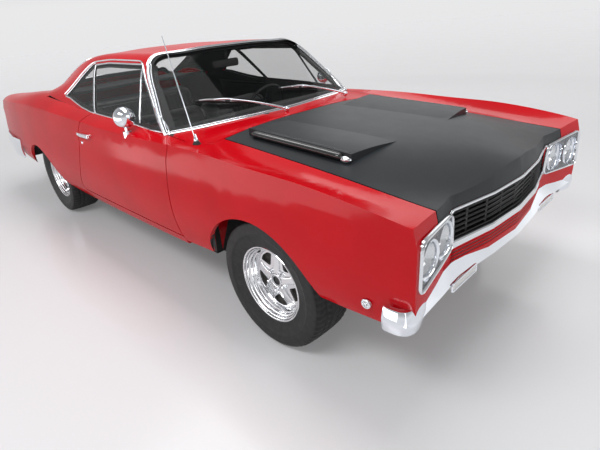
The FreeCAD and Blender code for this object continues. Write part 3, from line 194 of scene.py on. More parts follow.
# lamp plates: dark grey steel, darkened further as painted shade of the recess behind the lamp frames
dark_steel_with_painted_shade = metal("lamp_plate_steel", (0.20, 0.205, 0.215), 0.24, 0.1, 90)
undercoat = plain("undercoat", (0.012, 0.012, 0.013), (0.030, 0.030, 0.032), 0.72, 22, 0.35, 0.002)
grille_black = plain("grille_black", (0.010, 0.010, 0.011), (0.020, 0.020, 0.022), 0.42, 40, 0.15)
rubber = plain("seal_rubber", (0.010, 0.010, 0.010), (0.022, 0.022, 0.022), 0.62, 55, 0.2)
dash_black = plain("dash_black", (0.012, 0.012, 0.013), (0.024, 0.024, 0.026), 0.55, 60, 0.35, 0.0008)
iron = plain("engine_iron", (0.30, 0.10, 0.012), (0.42, 0.15, 0.020), 0.5, 18, 0.3, 0.002)
iron_dark = plain("brake_iron", (0.030, 0.028, 0.026), (0.060, 0.055, 0.050), 0.6, 40, 0.3, 0.001, 0.4)
carpet = plain("carpet", (0.010, 0.010, 0.011), (0.030, 0.030, 0.033), 0.95, 220, 0.9, 0.004)
headliner = plain("headliner", (0.020, 0.020, 0.021), (0.030, 0.030, 0.031), 0.85, 120, 0.5, 0.001)
inner_trim = plain("inner_trim", (0.014, 0.014, 0.015), (0.026, 0.026, 0.028), 0.7, 90, 0.4, 0.0008)
tyre_rubber = plain("tyre_rubber", (0.008, 0.008, 0.009), (0.018, 0.018, 0.019), 0.58, 46, 0.18, 0.0012)
for mat, specular in ((red, 0.0), (hood_black, 0.24), (tyre_rubber, 0.4)):
    tools(mat)[1].inputs["Specular IOR Level"].default_value = specular
window_glass = glass("window_glass", (0.010, 0.014, 0.014), 0.16)
# side and quarter panes: a grey tint, made lighter to stand for the backdrop reflected in them (painted
# reflection)
grey_glass_with_painted_reflection = glass("grey_glass_with_painted_reflection", (0.10, 0.11, 0.11), 0.30)
lens_glass = glass("lamp_lens", (0.80, 0.83, 0.86), 0.22)
red_lens = lens("red_lens", (0.42, 0.006, 0.008), 0.12)
amber_lens = lens("amber_lens", (0.74, 0.73, 0.70), 0.15)
bulb_core = material("bulb_core", (0.9, 0.9, 0.92), 0.2)
vinyl_black = vinyl()

for mat, slot, names in (
        (red, "body_red", "front_fenders quarter_panels rear_panels roof cowl front_panel trunk_lid "
                          "door_left door_right"),
        (hood_black, "hood_black", "hood"),
        (chrome, "chrome", "front_bumper rear_bumper antenna mirror_left mirror_right"),
        (undercoat, "under_black", "chassis_frame rear_axle front_suspension radiator inner_fenders "
                                   "knuckle_left knuckle_right"),
        (carpet, "under_black", "floor_pan"),
        (grille_black, "grille_black", "grille"),
        (dash_black, "dash_black", "dashboard steering_wheel"),
        (iron, "engine_iron", "engine"),
        (exhaust_steel, "steel", "exhaust"),
        (tank_steel, "steel", "fuel_tank"),
        (window_glass, "glass", "fixed_windows"),
        (grey_glass_with_painted_reflection, "glass", "door_glass_left door_glass_right"),
        (lens_glass, "lamp_glass", "headlamps"),
        (red_lens, "red_lens", "tail_lamps"),
        (amber_lens, "amber_lens", "signal_lamps"),
        (steel, "steel", "wipers"),
        (dash_black, "mirror_face", "cabin_mirror"),
        (vinyl_black, "vinyl_black", "front_seat rear_seat"),
        (tyre_rubber, "tyre", " ".join("tyre_" + place for place in PLACES)),
        (polished, "rim", " ".join("rim_" + place for place in PLACES))):
    for name in names.split():
        nodes[name].data.materials.clear()
        nodes[name].data.materials.append(mat)


# camera, floor and lights
PHOTO_W, PHOTO_H = 600, 450
FOCAL_PX, CENTRE_X_PX, CENTRE_Y_PX = 441.9546, 294.2835, 210.5596
CAMERA_AT = (3.19749, -2.01600, 1.51593)
CAMERA_TURN = Vector((1.891616880889053, 0.7258703958305364, -0.5796747939060729))


def make_camera():
    """The photograph's camera, from the fit to paired points: a turn vector and a place."""
    data = bpy.data.cameras.new("Camera")
    cam = bpy.data.objects.new("Camera", data)
    scene.collection.objects.link(cam)
    data.sensor_width = 36
    data.lens = FOCAL_PX * data.sensor_width / PHOTO_W
    data.shift_x = (PHOTO_W / 2 - CENTRE_X_PX) / PHOTO_W
    data.shift_y = (CENTRE_Y_PX - PHOTO_H / 2) / PHOTO_W
    data.clip_start, data.clip_end = 0.05, 200
    right, down, ahead = Matrix.Rotation(CAMERA_TURN.length, 3, CAMERA_TURN.normalized())
    axes = Matrix((right, -down, -ahead)).transposed()
    cam.matrix_world = Matrix.Translation(CAMERA_AT) @ axes.to_4x4()
    scene.camera = cam


def area(name, loc, target, size, power, size_y):
    data = bpy.data.lights.new(name, "AREA")
    data.energy = power
    data.shape = "RECTANGLE"
    data.size = size
    data.size_y = size_y
    o = bpy.data.objects.new(name, data)
    scene.collection.objects.link(o)
    o.location = loc
    o.rotation_euler = (Vector(target) - Vector(loc)).to_track_quat("-Z", "Y").to_euler()
    return o


def make_stage():
    mesh = bpy.data.meshes.new("floor")
    bm = bmesh.new()
    bmesh.ops.create_circle(bm, cap_ends=True, radius=60, segments=64)
    bm.to_mesh(mesh)
    bm.free()
    floor = bpy.data.objects.new("floor", mesh)
    scene.collection.objects.link(floor)
    m = material("floor_paint", (0.76, 0.76, 0.775), 0.22)
    t, b = tools(m)
    b.inputs["Specular IOR Level"].default_value = 0.35
    spread(t, noise(t, 1.5, 3), 0.15, 0.23, b.inputs["Roughness"])
    length = add(t, "VectorMath", links={0: coords(t)})
    length.operation = "LENGTH"
    # the floor glows a little more from 3 m to 9 m away, as the photograph's does
    b.inputs["Emission Color"].default_value = (1.0, 1.0, 1.01, 1)
    spread(t, length.outputs["Value"], 0.10, 0.26, b.inputs["Emission Strength"], 3.0, 9.0)
    mesh.materials.append(m)
    return floor


def make_world():
    """A grey studio room, brightest a little above the horizon."""
    world = bpy.data.worlds.new("World")
    scene.world = world
    world.use_nodes = True
    t = world.node_tree
    away = add(t, "SeparateXYZ", links={0: add(t, "NewGeometry").outputs["Incoming"]})
    height = spread(t, away.outputs["Z"], 0.0, 1.0, None, 0.35, -1.0)
    greys = [(0.0, 0.60), (0.22, 0.84), (0.30, 0.86), (0.42, 0.50), (1.0, 0.34)]
    back = t.nodes["Background"]
    t.links.new(ramp(t, height, [(pos, (v, v, v * 1.012)) for pos, v in greys]), back.inputs["Color"])
    back.inputs["Strength"].default_value = 0.95


def make_lights(floor):
    """Soft panels; the two cards are only there to be reflected, and leave the floor out."""
    area("key", (1.8, -4.2, 5.0), (0.8, -0.4, 0.5), 4.0, 125, 1.3)
    cards = (area("side_card", (-1.4, -3.7, 0.66), (-1.4, 0.0, 0.66), 7.6, 58, 1.22),
             area("front_card", (5.7, 3.1, 1.9), (2.5, -0.3, 0.5), 5.6, 14, 2.2))
    not_floor = bpy.data.collections.new("not_floor")
    not_floor.objects.link(floor)
    not_floor.collection_objects[0].light_linking.link_state = "EXCLUDE"
    for card in cards:
        card.visible_camera = False
        card.visible_diffuse = False
        card.light_linking.receiver_collection = not_floor
    area("top", (0.0, 0.4, 5.6), (0.0, 0.0, 0.5), 6.5, 150, 2.2)
    area("front", (7.0, 1.0, 3.0), (1.5, 0.0, 0.6), 3.5, 45, 1.2)
    area("far", (-1.0, 6.5, 3.6), (0.2, 0.0, 0.6), 6.0, 50, 2.0)


make_camera()
stage_floor = make_stage()
make_world()
make_lights(stage_floor)
scene.view_settings.view_transform = "Standard"


# building helpers
def mark_sharp(mesh, angle):
    bm = bmesh.new()
    bm.from_mesh(mesh)
    for e in bm.edges:
        e.smooth = not (len(e.link_faces) == 2 and e.calc_face_angle(0) > angle)
    bm.to_mesh(mesh)
    bm.free()


def part(bm, name, mats, body="body", sharp=None, stands_for=None):
    """Turns a mesh under construction into a piece that rides on a body."""
    bmesh.ops.recalc_face_normals(bm, faces=bm.faces)
    mesh = bpy.data.meshes.new(name)
    bm.to_mesh(mesh)
    bm.free()
    o = bpy.data.objects.new(name, mesh)
    scene.collection.objects.link(o)
    for one in mats if isinstance(mats, list) else [mats]:
        mesh.materials.append(one)
    mesh.shade_smooth()
    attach(o, body)
    if sharp:
        mark_sharp(mesh, sharp)
    if stands_for:
        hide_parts(stands_for)
    return o


def apply_modifier(o, m):
    with bpy.context.temp_override(object=o, active_object=o, selected_objects=[o]):
        bpy.ops.object.modifier_apply(modifier=m.name)


def surface_of(*names):
    verts, faces = [], []
    for n in names:
        me = nodes[n].data
        base = len(verts)
        verts += [v.co.copy() for v in me.vertices]
        faces += [[base + i for i in p.vertices] for p in me.polygons]
    return BVHTree.FromPolygons(verts, faces)


def drop(tree, x, y):
    """Place and normal under a point above the car, or None twice."""
    return tree.ray_cast(Vector((x, y, 3.0)), -UP)[:2]


def from_outside(tree, x, z, side):
    """Place and normal where a level ray meets the car's side from outside, or None twice."""
    return tree.ray_cast(Vector((x, side * 1.5, z)), Vector((0, -side, 0)))[:2]


def bridge(bm, rings, closed=False, mat=0, ends=False):
    """Faces between rows of points, one row after another; a row may be one point, mat a list by band."""
    for i, (r0, r1) in enumerate(zip(rings, rings[1:])):
        n = max(len(r0), len(r1))
        for k in range(n if closed else n - 1):
            j = (k + 1) % n
            quad = (r0[k % len(r0)], r0[j % len(r0)], r1[j % len(r1)], r1[k % len(r1)])
            corners = list(dict.fromkeys(quad))
            if len(corners) > 2:
                bm.faces.new(corners).material_index = mat[i] if isinstance(mat, list) else mat
    if ends:
        for r in (rings[0], rings[-1]):
            bm.faces.new(r).material_index = mat


def direction(points, i, closed):
    """The way a line of points runs at one of them."""
    n = len(points)
    a = points[i - 1] if i > 0 or closed else points[i]
    b = points[(i + 1) % n] if i < n - 1 or closed else points[i]
    return (b - a).normalized()


MOULDING = ((-0.5, 0.0), (-0.5, 0.35), (-0.32, 0.8), (0.0, 1.0), (0.32, 0.8), (0.5, 0.35), (0.5, 0.0))


def strip(bm, points, normals, width, height, closed=False, sink=0.0005, mat=0):
    """A moulding with a rounded top that follows points on a surface; normals may be one for all."""
    rings = []
    for i, p in enumerate(points):
        along = direction(points, i, closed)
        up = normals if isinstance(normals, Vector) else normals[i]
        side = along.cross(up.normalized()).normalized()
        up = side.cross(along).normalized()
        rings.append([bm.verts.new(p + side * width * u + up * (height * v - sink)) for u, v in MOULDING])
    bridge(bm, rings + rings[:1] if closed else rings, True, mat, ends=not closed)


def cross_axes(axis, ref=None):
    """Two unit vectors across an axis."""
    ref = ref or (UP if abs(axis.z) < 0.9 else FORWARD)
    u = (ref - axis * ref.dot(axis)).normalized()
    return u, axis.cross(u)


def circle(u, v, r, count):
    """Offsets round a circle in the plane of u and v."""
    turns = [k * math.tau / count for k in range(count)]
    return [(u * math.cos(a) + v * math.sin(a)) * r for a in turns]


def tube(bm, points, radius, sides=10, closed=False, mat=0):
    rings, last = [], None
    for i, p in enumerate(points):
        last, v = cross_axes(direction(points, i, closed), last)
        r = radius[i] if isinstance(radius, list) else radius
        rings.append([bm.verts.new(p + d) for d in circle(last, v, r, sides)])
    bridge(bm, rings + rings[:1] if closed else rings, True, mat, ends=not closed)


def revolve(bm, profile, centre, axis, segments=64, mat=0):
    """Turns (along, radius) places about an axis through a centre."""
    u, v = cross_axes(axis)
    rings = []
    for a, r in profile:
        at = centre + axis * a
        rings.append([bm.verts.new(at + d) for d in circle(u, v, r, segments if r else 1)])
    bridge(bm, rings, True, mat)


def block(bm, low, high, bevel):
    made = bmesh.ops.create_cube(bm, size=1.0)
    c = (Vector(low) + Vector(high)) / 2
    s = Vector(high) - Vector(low)
    for v in made["verts"]:
        v.co = v.co * s + c
    edges = list(dict.fromkeys(e for v in made["verts"] for e in v.link_edges))
    bmesh.ops.bevel(bm, geom=edges, offset=bevel, segments=2, affect="EDGES", profile=0.5)


def rounded(points, radius, steps=5, closed=True):
    """An outline with its corners rounded; radius may be a list by corner."""
    out = []
    n = len(points)
    for i, p in enumerate(points):
        c = Vector(p)
        if not closed and i in (0, n - 1):
            out.append(tuple(c))
            continue
        a = Vector(points[i - 1]) - c
        b = Vector(points[(i + 1) % n]) - c
        cut = min(radius[i] if isinstance(radius, list) else radius, a.length * 0.45, b.length * 0.45)
        s, e = c + a.normalized() * cut, c + b.normalized() * cut
        for k in range(steps + 1):
            u = k / steps
            out.append(tuple(s * (1 - u) ** 2 + c * 2 * u * (1 - u) + e * u ** 2))
    return out


def smooth(points, cuts, share=1.0):
    """Places on a curve through the given ones; share 0 is straight lines, 1 the full curve."""
    pts = [Vector(p) for p in points]
    last = len(pts) - 1
    fine = []
    for i in range(last):
        p0, p1, p2, p3 = pts[max(i - 1, 0)], pts[i], pts[i + 1], pts[min(i + 2, last)]
        for k in range(cuts):
            s = k / cuts
            curve = 0.5 * ((2 * p1) + (p2 - p0) * s + (2 * p0 - 5 * p1 + 4 * p2 - p3) * s * s
                           + (3 * p1 - p0 - 3 * p2 + p3) * s ** 3)
            fine.append(p1.lerp(p2, s).lerp(curve, share))
    return fine + [pts[-1]]


def islands(items, neighbours):
    """Connected groups of items."""
    seen, groups = set(), []
    for seed in items:
        if seed in seen:
            continue
        seen.add(seed)
        group, todo = [], [seed]
        while todo:
            a = todo.pop()
            group.append(a)
            for b in neighbours(a):
                if b not in seen:
                    seen.add(b)
                    todo.append(b)
        groups.append(group)
    return groups


def welded(name):
    bm = bmesh.new()
    bm.from_mesh(nodes[name].data)
    bmesh.ops.remove_doubles(bm, verts=bm.verts, dist=1e-5)
    return bm


def boxes_of(name):
    """Low and high corners of each separate piece of a node."""
    bm = welded(name)
    out = []
    for group in islands(bm.verts, lambda v: [e.other_vert(v) for e in v.link_edges]):
        out.append([Vector(pick(v.co[i] for v in group) for i in range(3)) for pick in (min, max)])
    bm.free()
    return out


def sheet(rows, reach=math.inf):
    """A mesh over rows of points, open where a point is None or a side is longer than reach."""
    bm = bmesh.new()
    vs = [[bm.verts.new(p) if p is not None else None for p in row] for row in rows]
    for r0, r1 in zip(vs, vs[1:]):
        for k in range(len(r0) - 1):
            q = (r0[k], r0[k + 1], r1[k + 1], r1[k])
            if all(q) and max((q[a].co - q[a - 1].co).length for a in range(4)) < reach:
                bm.faces.new(q)
    bmesh.ops.delete(bm, geom=[v for v in bm.verts if not v.link_faces], context="VERTS")
    return bm


def holds(loop, x, y):
    """Whether an outline goes round a point."""
    inside = False
    for (ax, ay), (bx, by) in zip(loop[-1:] + loop, loop):
        if (ay > y) != (by > y) and x < (bx - ax) * (y - ay) / (by - ay) + ax:
            inside = not inside
    return inside


def punched(bm, loops, across):
    """Fills the first outline and leaves the others open; across names the plane's two axes."""
    edges = []
    for loop in loops:
        vs = []
        for place in loop:
            at = [0, 0, 0]
            at[across[0]], at[across[1]] = place
            vs.append(bm.verts.new(at))
        edges += [bm.edges.new((vs[k], vs[(k + 1) % len(vs)])) for k in range(len(vs))]
    bmesh.ops.triangle_fill(bm, use_beauty=True, use_dissolve=False, edges=edges)
    gone = []
    for f in bm.faces:
        m = f.calc_center_median()
        if any(holds(loop, m[across[0]], m[across[1]]) for loop in loops[1:]):
            gone.append(f)
    bmesh.ops.delete(bm, geom=gone, context="FACES")


# wheels
def tyre_half(width):
    """Half section of the tyre: offset along the axle from the middle plane and radius."""
    seat, low, half = 0.0925, 0.188, width / 2
    return [(seat, low), (seat + 0.008, 0.2075), (half - 0.006, 0.2565), (half, 0.2705),
            (half - 0.0035, 0.314), (half - 0.010, 0.3265), (half - 0.024, 0.3352), (half - 0.045, 0.3382),
            (0.04, 0.3396), (0.0, TYRE_R)]


def groove(value, centre, half, soft):
    return max(0.0, min(1.0, (half + soft - abs(value - centre)) / soft))


def tread_cut(w, turn, edge):
    """Depth of the tread pattern, 0 to 1, at an offset along the axle and a place round the tyre."""
    a = abs(w)
    cut = max(groove(w, g, 0.0035, 0.0035) for g in (-0.062, -0.024, 0.024, 0.062))
    phase = (turn + 0.35 * (w / edge)) % 1.0
    if a > 0.066:
        cut = max(cut, 0.8 * groove(phase, 0.5, 0.12, 0.14))
    elif 0.030 < a < 0.058:
        cut = max(cut, 0.6 * groove((phase + a * 18) % 1.0, 0.5, 0.08, 0.12))
    elif a < 0.020:
        cut = max(cut, 0.4 * groove((phase + 0.5 + w * 14) % 1.0, 0.5, 0.06, 0.12))
    return cut


def make_tyre(place, width):
    turns, blocks, steps, groove_depth = 252, 63, 46, 0.0072
    x, y = WHEELS[place]
    rows = [(p.x, p.y) for p in smooth(tyre_half(width), 5, 0.6)]
    tread_start = next(i for i, r in enumerate(rows) if r[1] > 0.3345)
    side_rows, edge = rows[:tread_start], rows[tread_start][0]
    full = list(side_rows)
    for i in range(steps + 1):
        w = edge * (1 - 2 * i / steps)
        full.append((w, TYRE_R - 0.0048 * (abs(w) / edge) ** 3))
    full += [(-a, r) for a, r in reversed(side_rows)]
    n = len(full)
    verts, faces = [], []
    for k in range(turns):
        ang = k * math.tau / turns
        for w, r in full:
            rr = r
            if r > 0.325:
                rr -= groove_depth * tread_cut(w, k * blocks / turns, edge)
            if 0.205 < r < 0.325:
                for ring in (0.222, 0.296, 0.309):
                    lift = 0.0009 * math.exp(-((r - ring) / 0.0022) ** 2)
                    if abs(w) + lift < width / 2:
                        w += math.copysign(lift, w)
            verts.append((x + rr * math.sin(ang), y + w, AXLE_Z + rr * math.cos(ang)))
    for k in range(turns):
        a, b = k * n, (k + 1) % turns * n
        faces += [(a + i, a + (i + 1) % n, b + (i + 1) % n, b + i) for i in range(n)]
    mesh = bpy.data.meshes.new("tyre_grid")
    mesh.from_pydata(verts, [], faces)
    bm = bmesh.new()
    bm.from_mesh(mesh)
    part(bm, "tyre_tread_" + place, tyre_rubber, "wheel_" + place, stands_for="tyre_" + place)


SPOKES = 5
PLATE_R = 0.1610
PLATE_FRONT, PLATE_BACK = 0.0440, 0.0250
BARREL = [
    (-0.0925, 0.1885), (-0.1015, 0.2008), (-0.1015, 0.192), (-0.0925, 0.180), (-0.045, 0.162),
    (0.040, 0.1600), (0.0435, 0.1615), (0.0465, 0.1600), (0.058, 0.1640), (0.0600, 0.1700),
    (0.0625, 0.1715), (0.074, 0.1735), (0.0765, 0.1795), (0.079, 0.1812), (0.0895, 0.1835),
    (0.0925, 0.1895), (0.0955, 0.1915), (0.1000, 0.1925), (0.1015, 0.1950), (0.1015, 0.1990),
    (0.0990, 0.2009), (0.0940, 0.1990), (0.0925, 0.1885), (0.045, 0.169), (-0.045, 0.169),
    (-0.0925, 0.1885)]
ARM_STATIONS = ((0.045, 0.026, 0.0125), (0.070, 0.021, 0.0115), (0.100, 0.021, 0.008), (0.130, 0.025, 0.0045),
                (0.150, 0.030, 0.0012), (0.1575, 0.033, -0.003))
ARM_SECTION = ((-1, -0.6), (-0.92, 0.55), (-0.70, 0.95), (-0.35, 1.0), (0, 0.90), (0.35, 1.0), (0.70, 0.95),
               (0.92, 0.55), (1, -0.6))


def dish(r):
    """How far the spoke plate falls back at a radius."""
    return 0.006 * (r / PLATE_R) ** 2


def around(turn, r=1.0):
    """A place in the wheel's plane."""
    return Vector((math.cos(turn), 0, math.sin(turn))) * r


def hole_outline(turn):
    """A rounded triangular hole between two spokes, as places in the wheel's plane."""
    inner, outer, half = 0.079, 0.141, 0.050
    corners = [(inner, 0), (outer - 0.012, half), (outer + 0.004, half * 0.45), (outer + 0.004, -half * 0.45),
               (outer - 0.012, -half)]
    cs, sn = math.cos(turn), math.sin(turn)
    return [(a * cs - b * sn, a * sn + b * cs) for a, b in rounded(corners, [0.013] + [0.009] * 4, 5)]


def spoke_plate(x, y, side):
    """The plate with five holes, dished, with rolled edges, as a mesh."""
    loops = [[(p.x, p.z) for p in (around(k * math.tau / 120, PLATE_R) for k in range(120))]]
    loops += [hole_outline(math.tau * (i + 0.5) / SPOKES + math.pi / 2) for i in range(SPOKES)]
    plate = bmesh.new()
    punched(plate, loops, (0, 2))
    made = bmesh.ops.extrude_face_region(plate, geom=plate.faces[:])
    for v in made["geom"]:
        if isinstance(v, bmesh.types.BMVert):
            v.co.y = 1.0
    for v in plate.verts:
        at = (PLATE_FRONT if v.co.y > 0.5 else PLATE_BACK) - dish(math.hypot(v.co.x, v.co.z))
        v.co = Vector((x + v.co.x, y + side * at, AXLE_Z + v.co.z))
    sharp = [e for e in plate.edges if len(e.link_faces) == 2 and e.calc_face_angle(0) > 1.0]
    bmesh.ops.bevel(plate, geom=sharp, offset=0.0025, segments=2, affect="EDGES", profile=0.6)
    mesh = bpy.data.meshes.new("spoke_plate")
    plate.to_mesh(mesh)
    plate.free()
    return mesh


def make_rim(place):
    x, y = WHEELS[place]
    side = 1 if y > 0 else -1
    c = Vector((x, y, AXLE_Z))
    axis = Vector((0, side, 0))
    bm = bmesh.new()
    revolve(bm, BARREL, c, axis, 128)
    bm.from_mesh(spoke_plate(x, y, side))
    # raised arms: a tapered ridge with rounded shoulders along each spoke
    for i in range(SPOKES):
        a = math.tau * i / SPOKES + math.pi / 2
        out, across = around(a), Vector((-math.sin(a), 0, math.cos(a)))
        rings = []
        for s, half, rise in ARM_STATIONS:
            ring = []
            for u, v in ARM_SECTION:
                h = PLATE_FRONT - dish(s) + (rise * v if v > 0 else -0.003)
                ring.append(bm.verts.new(c + out * s + across * half * u + axis * h))
            rings.append(ring)
        bridge(bm, rings)
    # hub: flange, lug wells with nuts, raised ring and dark centre
    revolve(bm, [(-0.010, 0.066), (0.049, 0.066), (0.0535, 0.0635), (0.0555, 0.058), (0.0545, 0.040),
                 (0.0500, 0.038)], c, axis, 72)
    revolve(bm, [(0.047, 0.0385), (0.0575, 0.0378), (0.0585, 0.0355), (0.0585, 0.0325), (0.0570, 0.0300),
                 (0.0500, 0.0290)], c, axis, 56)
    between = math.pi / 2 + math.pi / SPOKES
    for i in range(SPOKES):
        at = c + around(math.tau * i / SPOKES + between, 0.0530)
        revolve(bm, [(0.050, 0.0128), (0.0575, 0.0125), (0.0585, 0.0113), (0.0560, 0.0105)], at, axis, 24)
        revolve(bm, [(0.052, 0.0088), (0.0668, 0.0086), (0.0688, 0.0068), (0.0700, 0.0)], at, axis, 6)
    revolve(bm, [(0.050, 0.0292), (0.0545, 0.0285), (0.0555, 0.0262), (0.0540, 0.0240), (0.0520, 0.0235)], c,
            axis, 48, mat=1)
    revolve(bm, [(0.0525, 0.0240), (0.0480, 0.0225), (0.0478, 0.0)], c, axis, 48, mat=2)
    # valve stem, then the brake drum with its ribs behind the plate
    revolve(bm, [(0.050, 0.0042), (0.072, 0.0036), (0.0735, 0.0026), (0.0740, 0.0)],
            c + around(between, 0.1665), axis, 12, mat=2)
    revolve(bm, [(0.018, 0.150), (0.000, 0.1515), (-0.055, 0.1515), (-0.058, 0.146)], c, axis, 64, mat=3)
    revolve(bm, [(0.018, 0.150), (0.020, 0.144), (0.018, 0.070), (0.018, 0.0)], c, axis, 64, mat=3)
    for i in range(24):
        at = c + around(math.tau * i / 24, 0.1520)
        tube(bm, [at - axis * 0.050, at + axis * 0.010], 0.0025, 6, mat=3)
    part(bm, "wheel_face_" + place, [polished, cast, grille_black, iron_dark], "wheel_" + place, 0.7,
         "rim_" + place)


for place in PLACES:
    make_tyre(place, 0.243 if "front" in place else 0.254)
    make_rim(place)


# window trim
def pane_loops(node):
    """The outer edge of each pane of a node: points, normals and middle."""
    bm = welded(node)
    found = []
    for group in islands(bm.faces, lambda f: [g for e in f.edges for g in e.link_faces]):
        whole = sum(f.calc_area() for f in group)
        middle = sum((f.calc_center_median() * f.calc_area() for f in group), Vector()) / whole
        away = middle - Vector((-0.1, 0, 0.75))
        mean = sum((f.normal * f.calc_area() for f in group if f.normal.dot(away) > 0), Vector()).normalized()
        outer = set(f for f in group if f.normal.dot(mean) > 0.55)
        step = {}
        for f in group:
            for e in f.edges if f in outer else ():
                if sum(1 for g in e.link_faces if g in outer) == 1:
                    a, b = e.verts
                    step.setdefault(a, []).append((b, f.normal))
                    step.setdefault(b, []).append((a, f.normal))
        done, best = set(), []
        for start in step:
            chain, now = [], start
            while now is not None and now not in done:
                done.add(now)
                chain.append(now)
                now = next((v for v, _ in step[now] if v not in done), None)
            if len(chain) > len(best):
                best = chain
        found.append(([v.co.copy() for v in best],
                      [sum((n for _, n in step[v]), Vector()).normalized() for v in best], middle))
    bm.free()
    return found


def resample(pts, nor, step=0.02, least=0.004):
    """Even spacing along a closed loop, with its corners kept and near doubles dropped."""
    n = len(pts)
    kept = []
    for i in range(n):
        a, b = pts[i], pts[(i + 1) % n]
        cuts = max(1, int((b - a).length / step))
        for k in range(cuts):
            p, m = a.lerp(b, k / cuts), nor[i].lerp(nor[(i + 1) % n], k / cuts).normalized()
            if not kept or (p - kept[-1][0]).length > least:
                kept.append((p, m))
    if (kept[0][0] - kept[-1][0]).length < least:
        kept.pop()
    return [p for p, _ in kept], [m for _, m in kept]


def offset_loop(pts, nor, middle, amount):
    """The loop moved outwards along the pane by one amount."""
    out = []
    n = len(pts)
    for i, p in enumerate(pts):
        s1 = (p - pts[i - 1]).normalized().cross(nor[i])
        s2 = (pts[(i + 1) % n] - p).normalized().cross(nor[i])
        s = s1 + s2
        if s.length < 1e-6:
            s = s1
        s.normalize()
        if s.dot(p - middle) < 0:
            s = -s
        out.append(p + s * amount / max(0.6, abs(s.dot(s1))))
    return out


def pane_kind(node, middle):
    label = "left" if middle.y > 0 else "right"
    if node != "fixed_windows":
        return "door_window_" + label
    if abs(middle.y) > 0.3:
        return "quarter_window_" + label
    return "windscreen" if middle.x > 0.3 else "rear_window"


def make_window_trims():
    """Bright frames and rubber seals round every pane; returns the loops that they follow."""
    trims = {}
    for node, body in PANES:
        for pts, nor, middle in pane_loops(node):
            pts, nor = resample(pts, nor)
            kind = pane_kind(node, middle)
            big = kind in ("windscreen", "rear_window")
            trims[kind] = (pts, nor, middle, body, big)
            wide, rise = (0.020, 0.0085) if big else (0.013, 0.0075)
            bm = bmesh.new()
            strip(bm, offset_loop(pts, nor, middle, 0.002), nor, wide, rise, True, 0.001)
            if big:
                strip(bm, offset_loop(pts, nor, middle, 0.009), nor, 0.006, rise + 0.003, True, 0.001)
            part(bm, kind + "_trim", steel, body, 0.9)
            bm = bmesh.new()
            strip(bm, offset_loop(pts, nor, middle, -wide / 2 - 0.003), nor, 0.010, 0.003, True)
            part(bm, kind + "_seal", rubber, body)
    return trims


trims = make_window_trims()

# front end
FASCIA = [(0.0, 2.5580), (0.25, 2.5385), (0.51, 2.4860), (0.675, 2.5178), (0.88, 2.5528), (1.2, 2.5528)]
LAMPS = [(Vector((hi.x, (lo.y + hi.y) / 2, (lo.z + hi.z) / 2)), hi.x - lo.x)
         for lo, hi in boxes_of("headlamps")]
LENS_R = 0.0655
OPENING_R = 0.0775


def fascia_x(y):
    """Front of the fascia at a half width, from the panel's own outline."""
    a = abs(y)
    for (y0, x0), (y1, x1) in zip(FASCIA, FASCIA[1:]):
        if a <= y1:
            return x0 + (x1 - x0) * (a - y0) / (y1 - y0)
    return FASCIA[-1][1]


def nose_path(points, lift, step=0.02):
    """Points along the fascia between (y, z) places."""
    flat = []
    for (y0, z0), (y1, z1) in zip(points, points[1:]):
        n = max(1, int(math.hypot(y1 - y0, z1 - z0) / step))
        flat += [(y0 + (y1 - y0) * k / n, z0 + (z1 - z0) * k / n) for k in range(n)]
    return [Vector((fascia_x(y) + lift, y, z)) for y, z in flat + [points[-1]]]


def make_headlamps():
    bm = bmesh.new()
    for c, deep in LAMPS:
        # housing, reflector bowl and bulb shield
        revolve(bm, [(-deep, 0.0), (-deep, 0.052), (0.012 - deep, 0.067), (-0.004, 0.0695), (0.001, 0.0695)],
                c, FORWARD, 48, mat=2)
        revolve(bm, [(-0.001, 0.0640), (-0.008, 0.0600), (-0.020, 0.0500), (-0.032, 0.0350), (-0.040, 0.0180),
                     (-0.042, 0.0)], c, FORWARD, 48, mat=1)
        revolve(bm, [(-0.041, 0.0090), (-0.014, 0.0120), (-0.008, 0.0100), (-0.006, 0.0)], c, FORWARD, 24,
                mat=3)
        # plated ring with a stepped inner edge
        revolve(bm, [(-0.002, 0.0790), (0.006, 0.0792), (0.011, 0.0770), (0.012, 0.0735), (0.009, 0.0705),
                     (0.0085, 0.0690), (0.0105, 0.0672), (0.0085, 0.0650), (0.002, 0.0640), (-0.002, 0.0645)],
                c, FORWARD, 72)
        # plated sleeve from the plate's opening back to the ring
        rings = []
        for r, ahead in ((0.0782, None), (0.0765, 0.006), (0.0700, 0.002)):
            ring = [c + d for d in circle(Vector((0, 1, 0)), UP, r, 72)]
            rings.append([bm.verts.new((fascia_x(p.y) + 0.0075 if ahead is None else c.x + ahead, p.y, p.z))
                          for p in ring])
        bridge(bm, rings, True)
        # three aiming points on the glass
        for k in range(3):
            a = math.tau * k / 3 + math.pi / 2
            revolve(bm, [(0.003, 0.0032), (0.0092, 0.0026), (0.0100, 0.0)],
                    c + Vector((0, math.cos(a), math.sin(a))) * 0.055, FORWARD, 10, mat=1)
    part(bm, "headlamp_units", [chrome, reflector, grille_black, bulb_core], "body", 0.8,
         "headlamps")
    # domed, fluted glass
    rows, segments = 26, 96
    bm = bmesh.new()
    for c, deep in LAMPS:
        rings = []
        for i in range(rows + 1):
            r = LENS_R * (1 - i / rows)
            ring = []
            for d in circle(Vector((0, 1, 0)), UP, r, segments if i < rows else 1):
                flute = 0.0006 * abs(math.sin(d.y * 220)) * (1 if r < 0.060 else 0)
                flute += 0.0004 * abs(math.sin(d.z * 110))
                d.x = 0.002 + 0.009 * (1 - (r / LENS_R) ** 2) - flute
                ring.append(bm.verts.new(c + d))
            rings.append(ring)
        bridge(bm, rings, True)
    part(bm, "headlamp_lenses", lens_glass, "body")


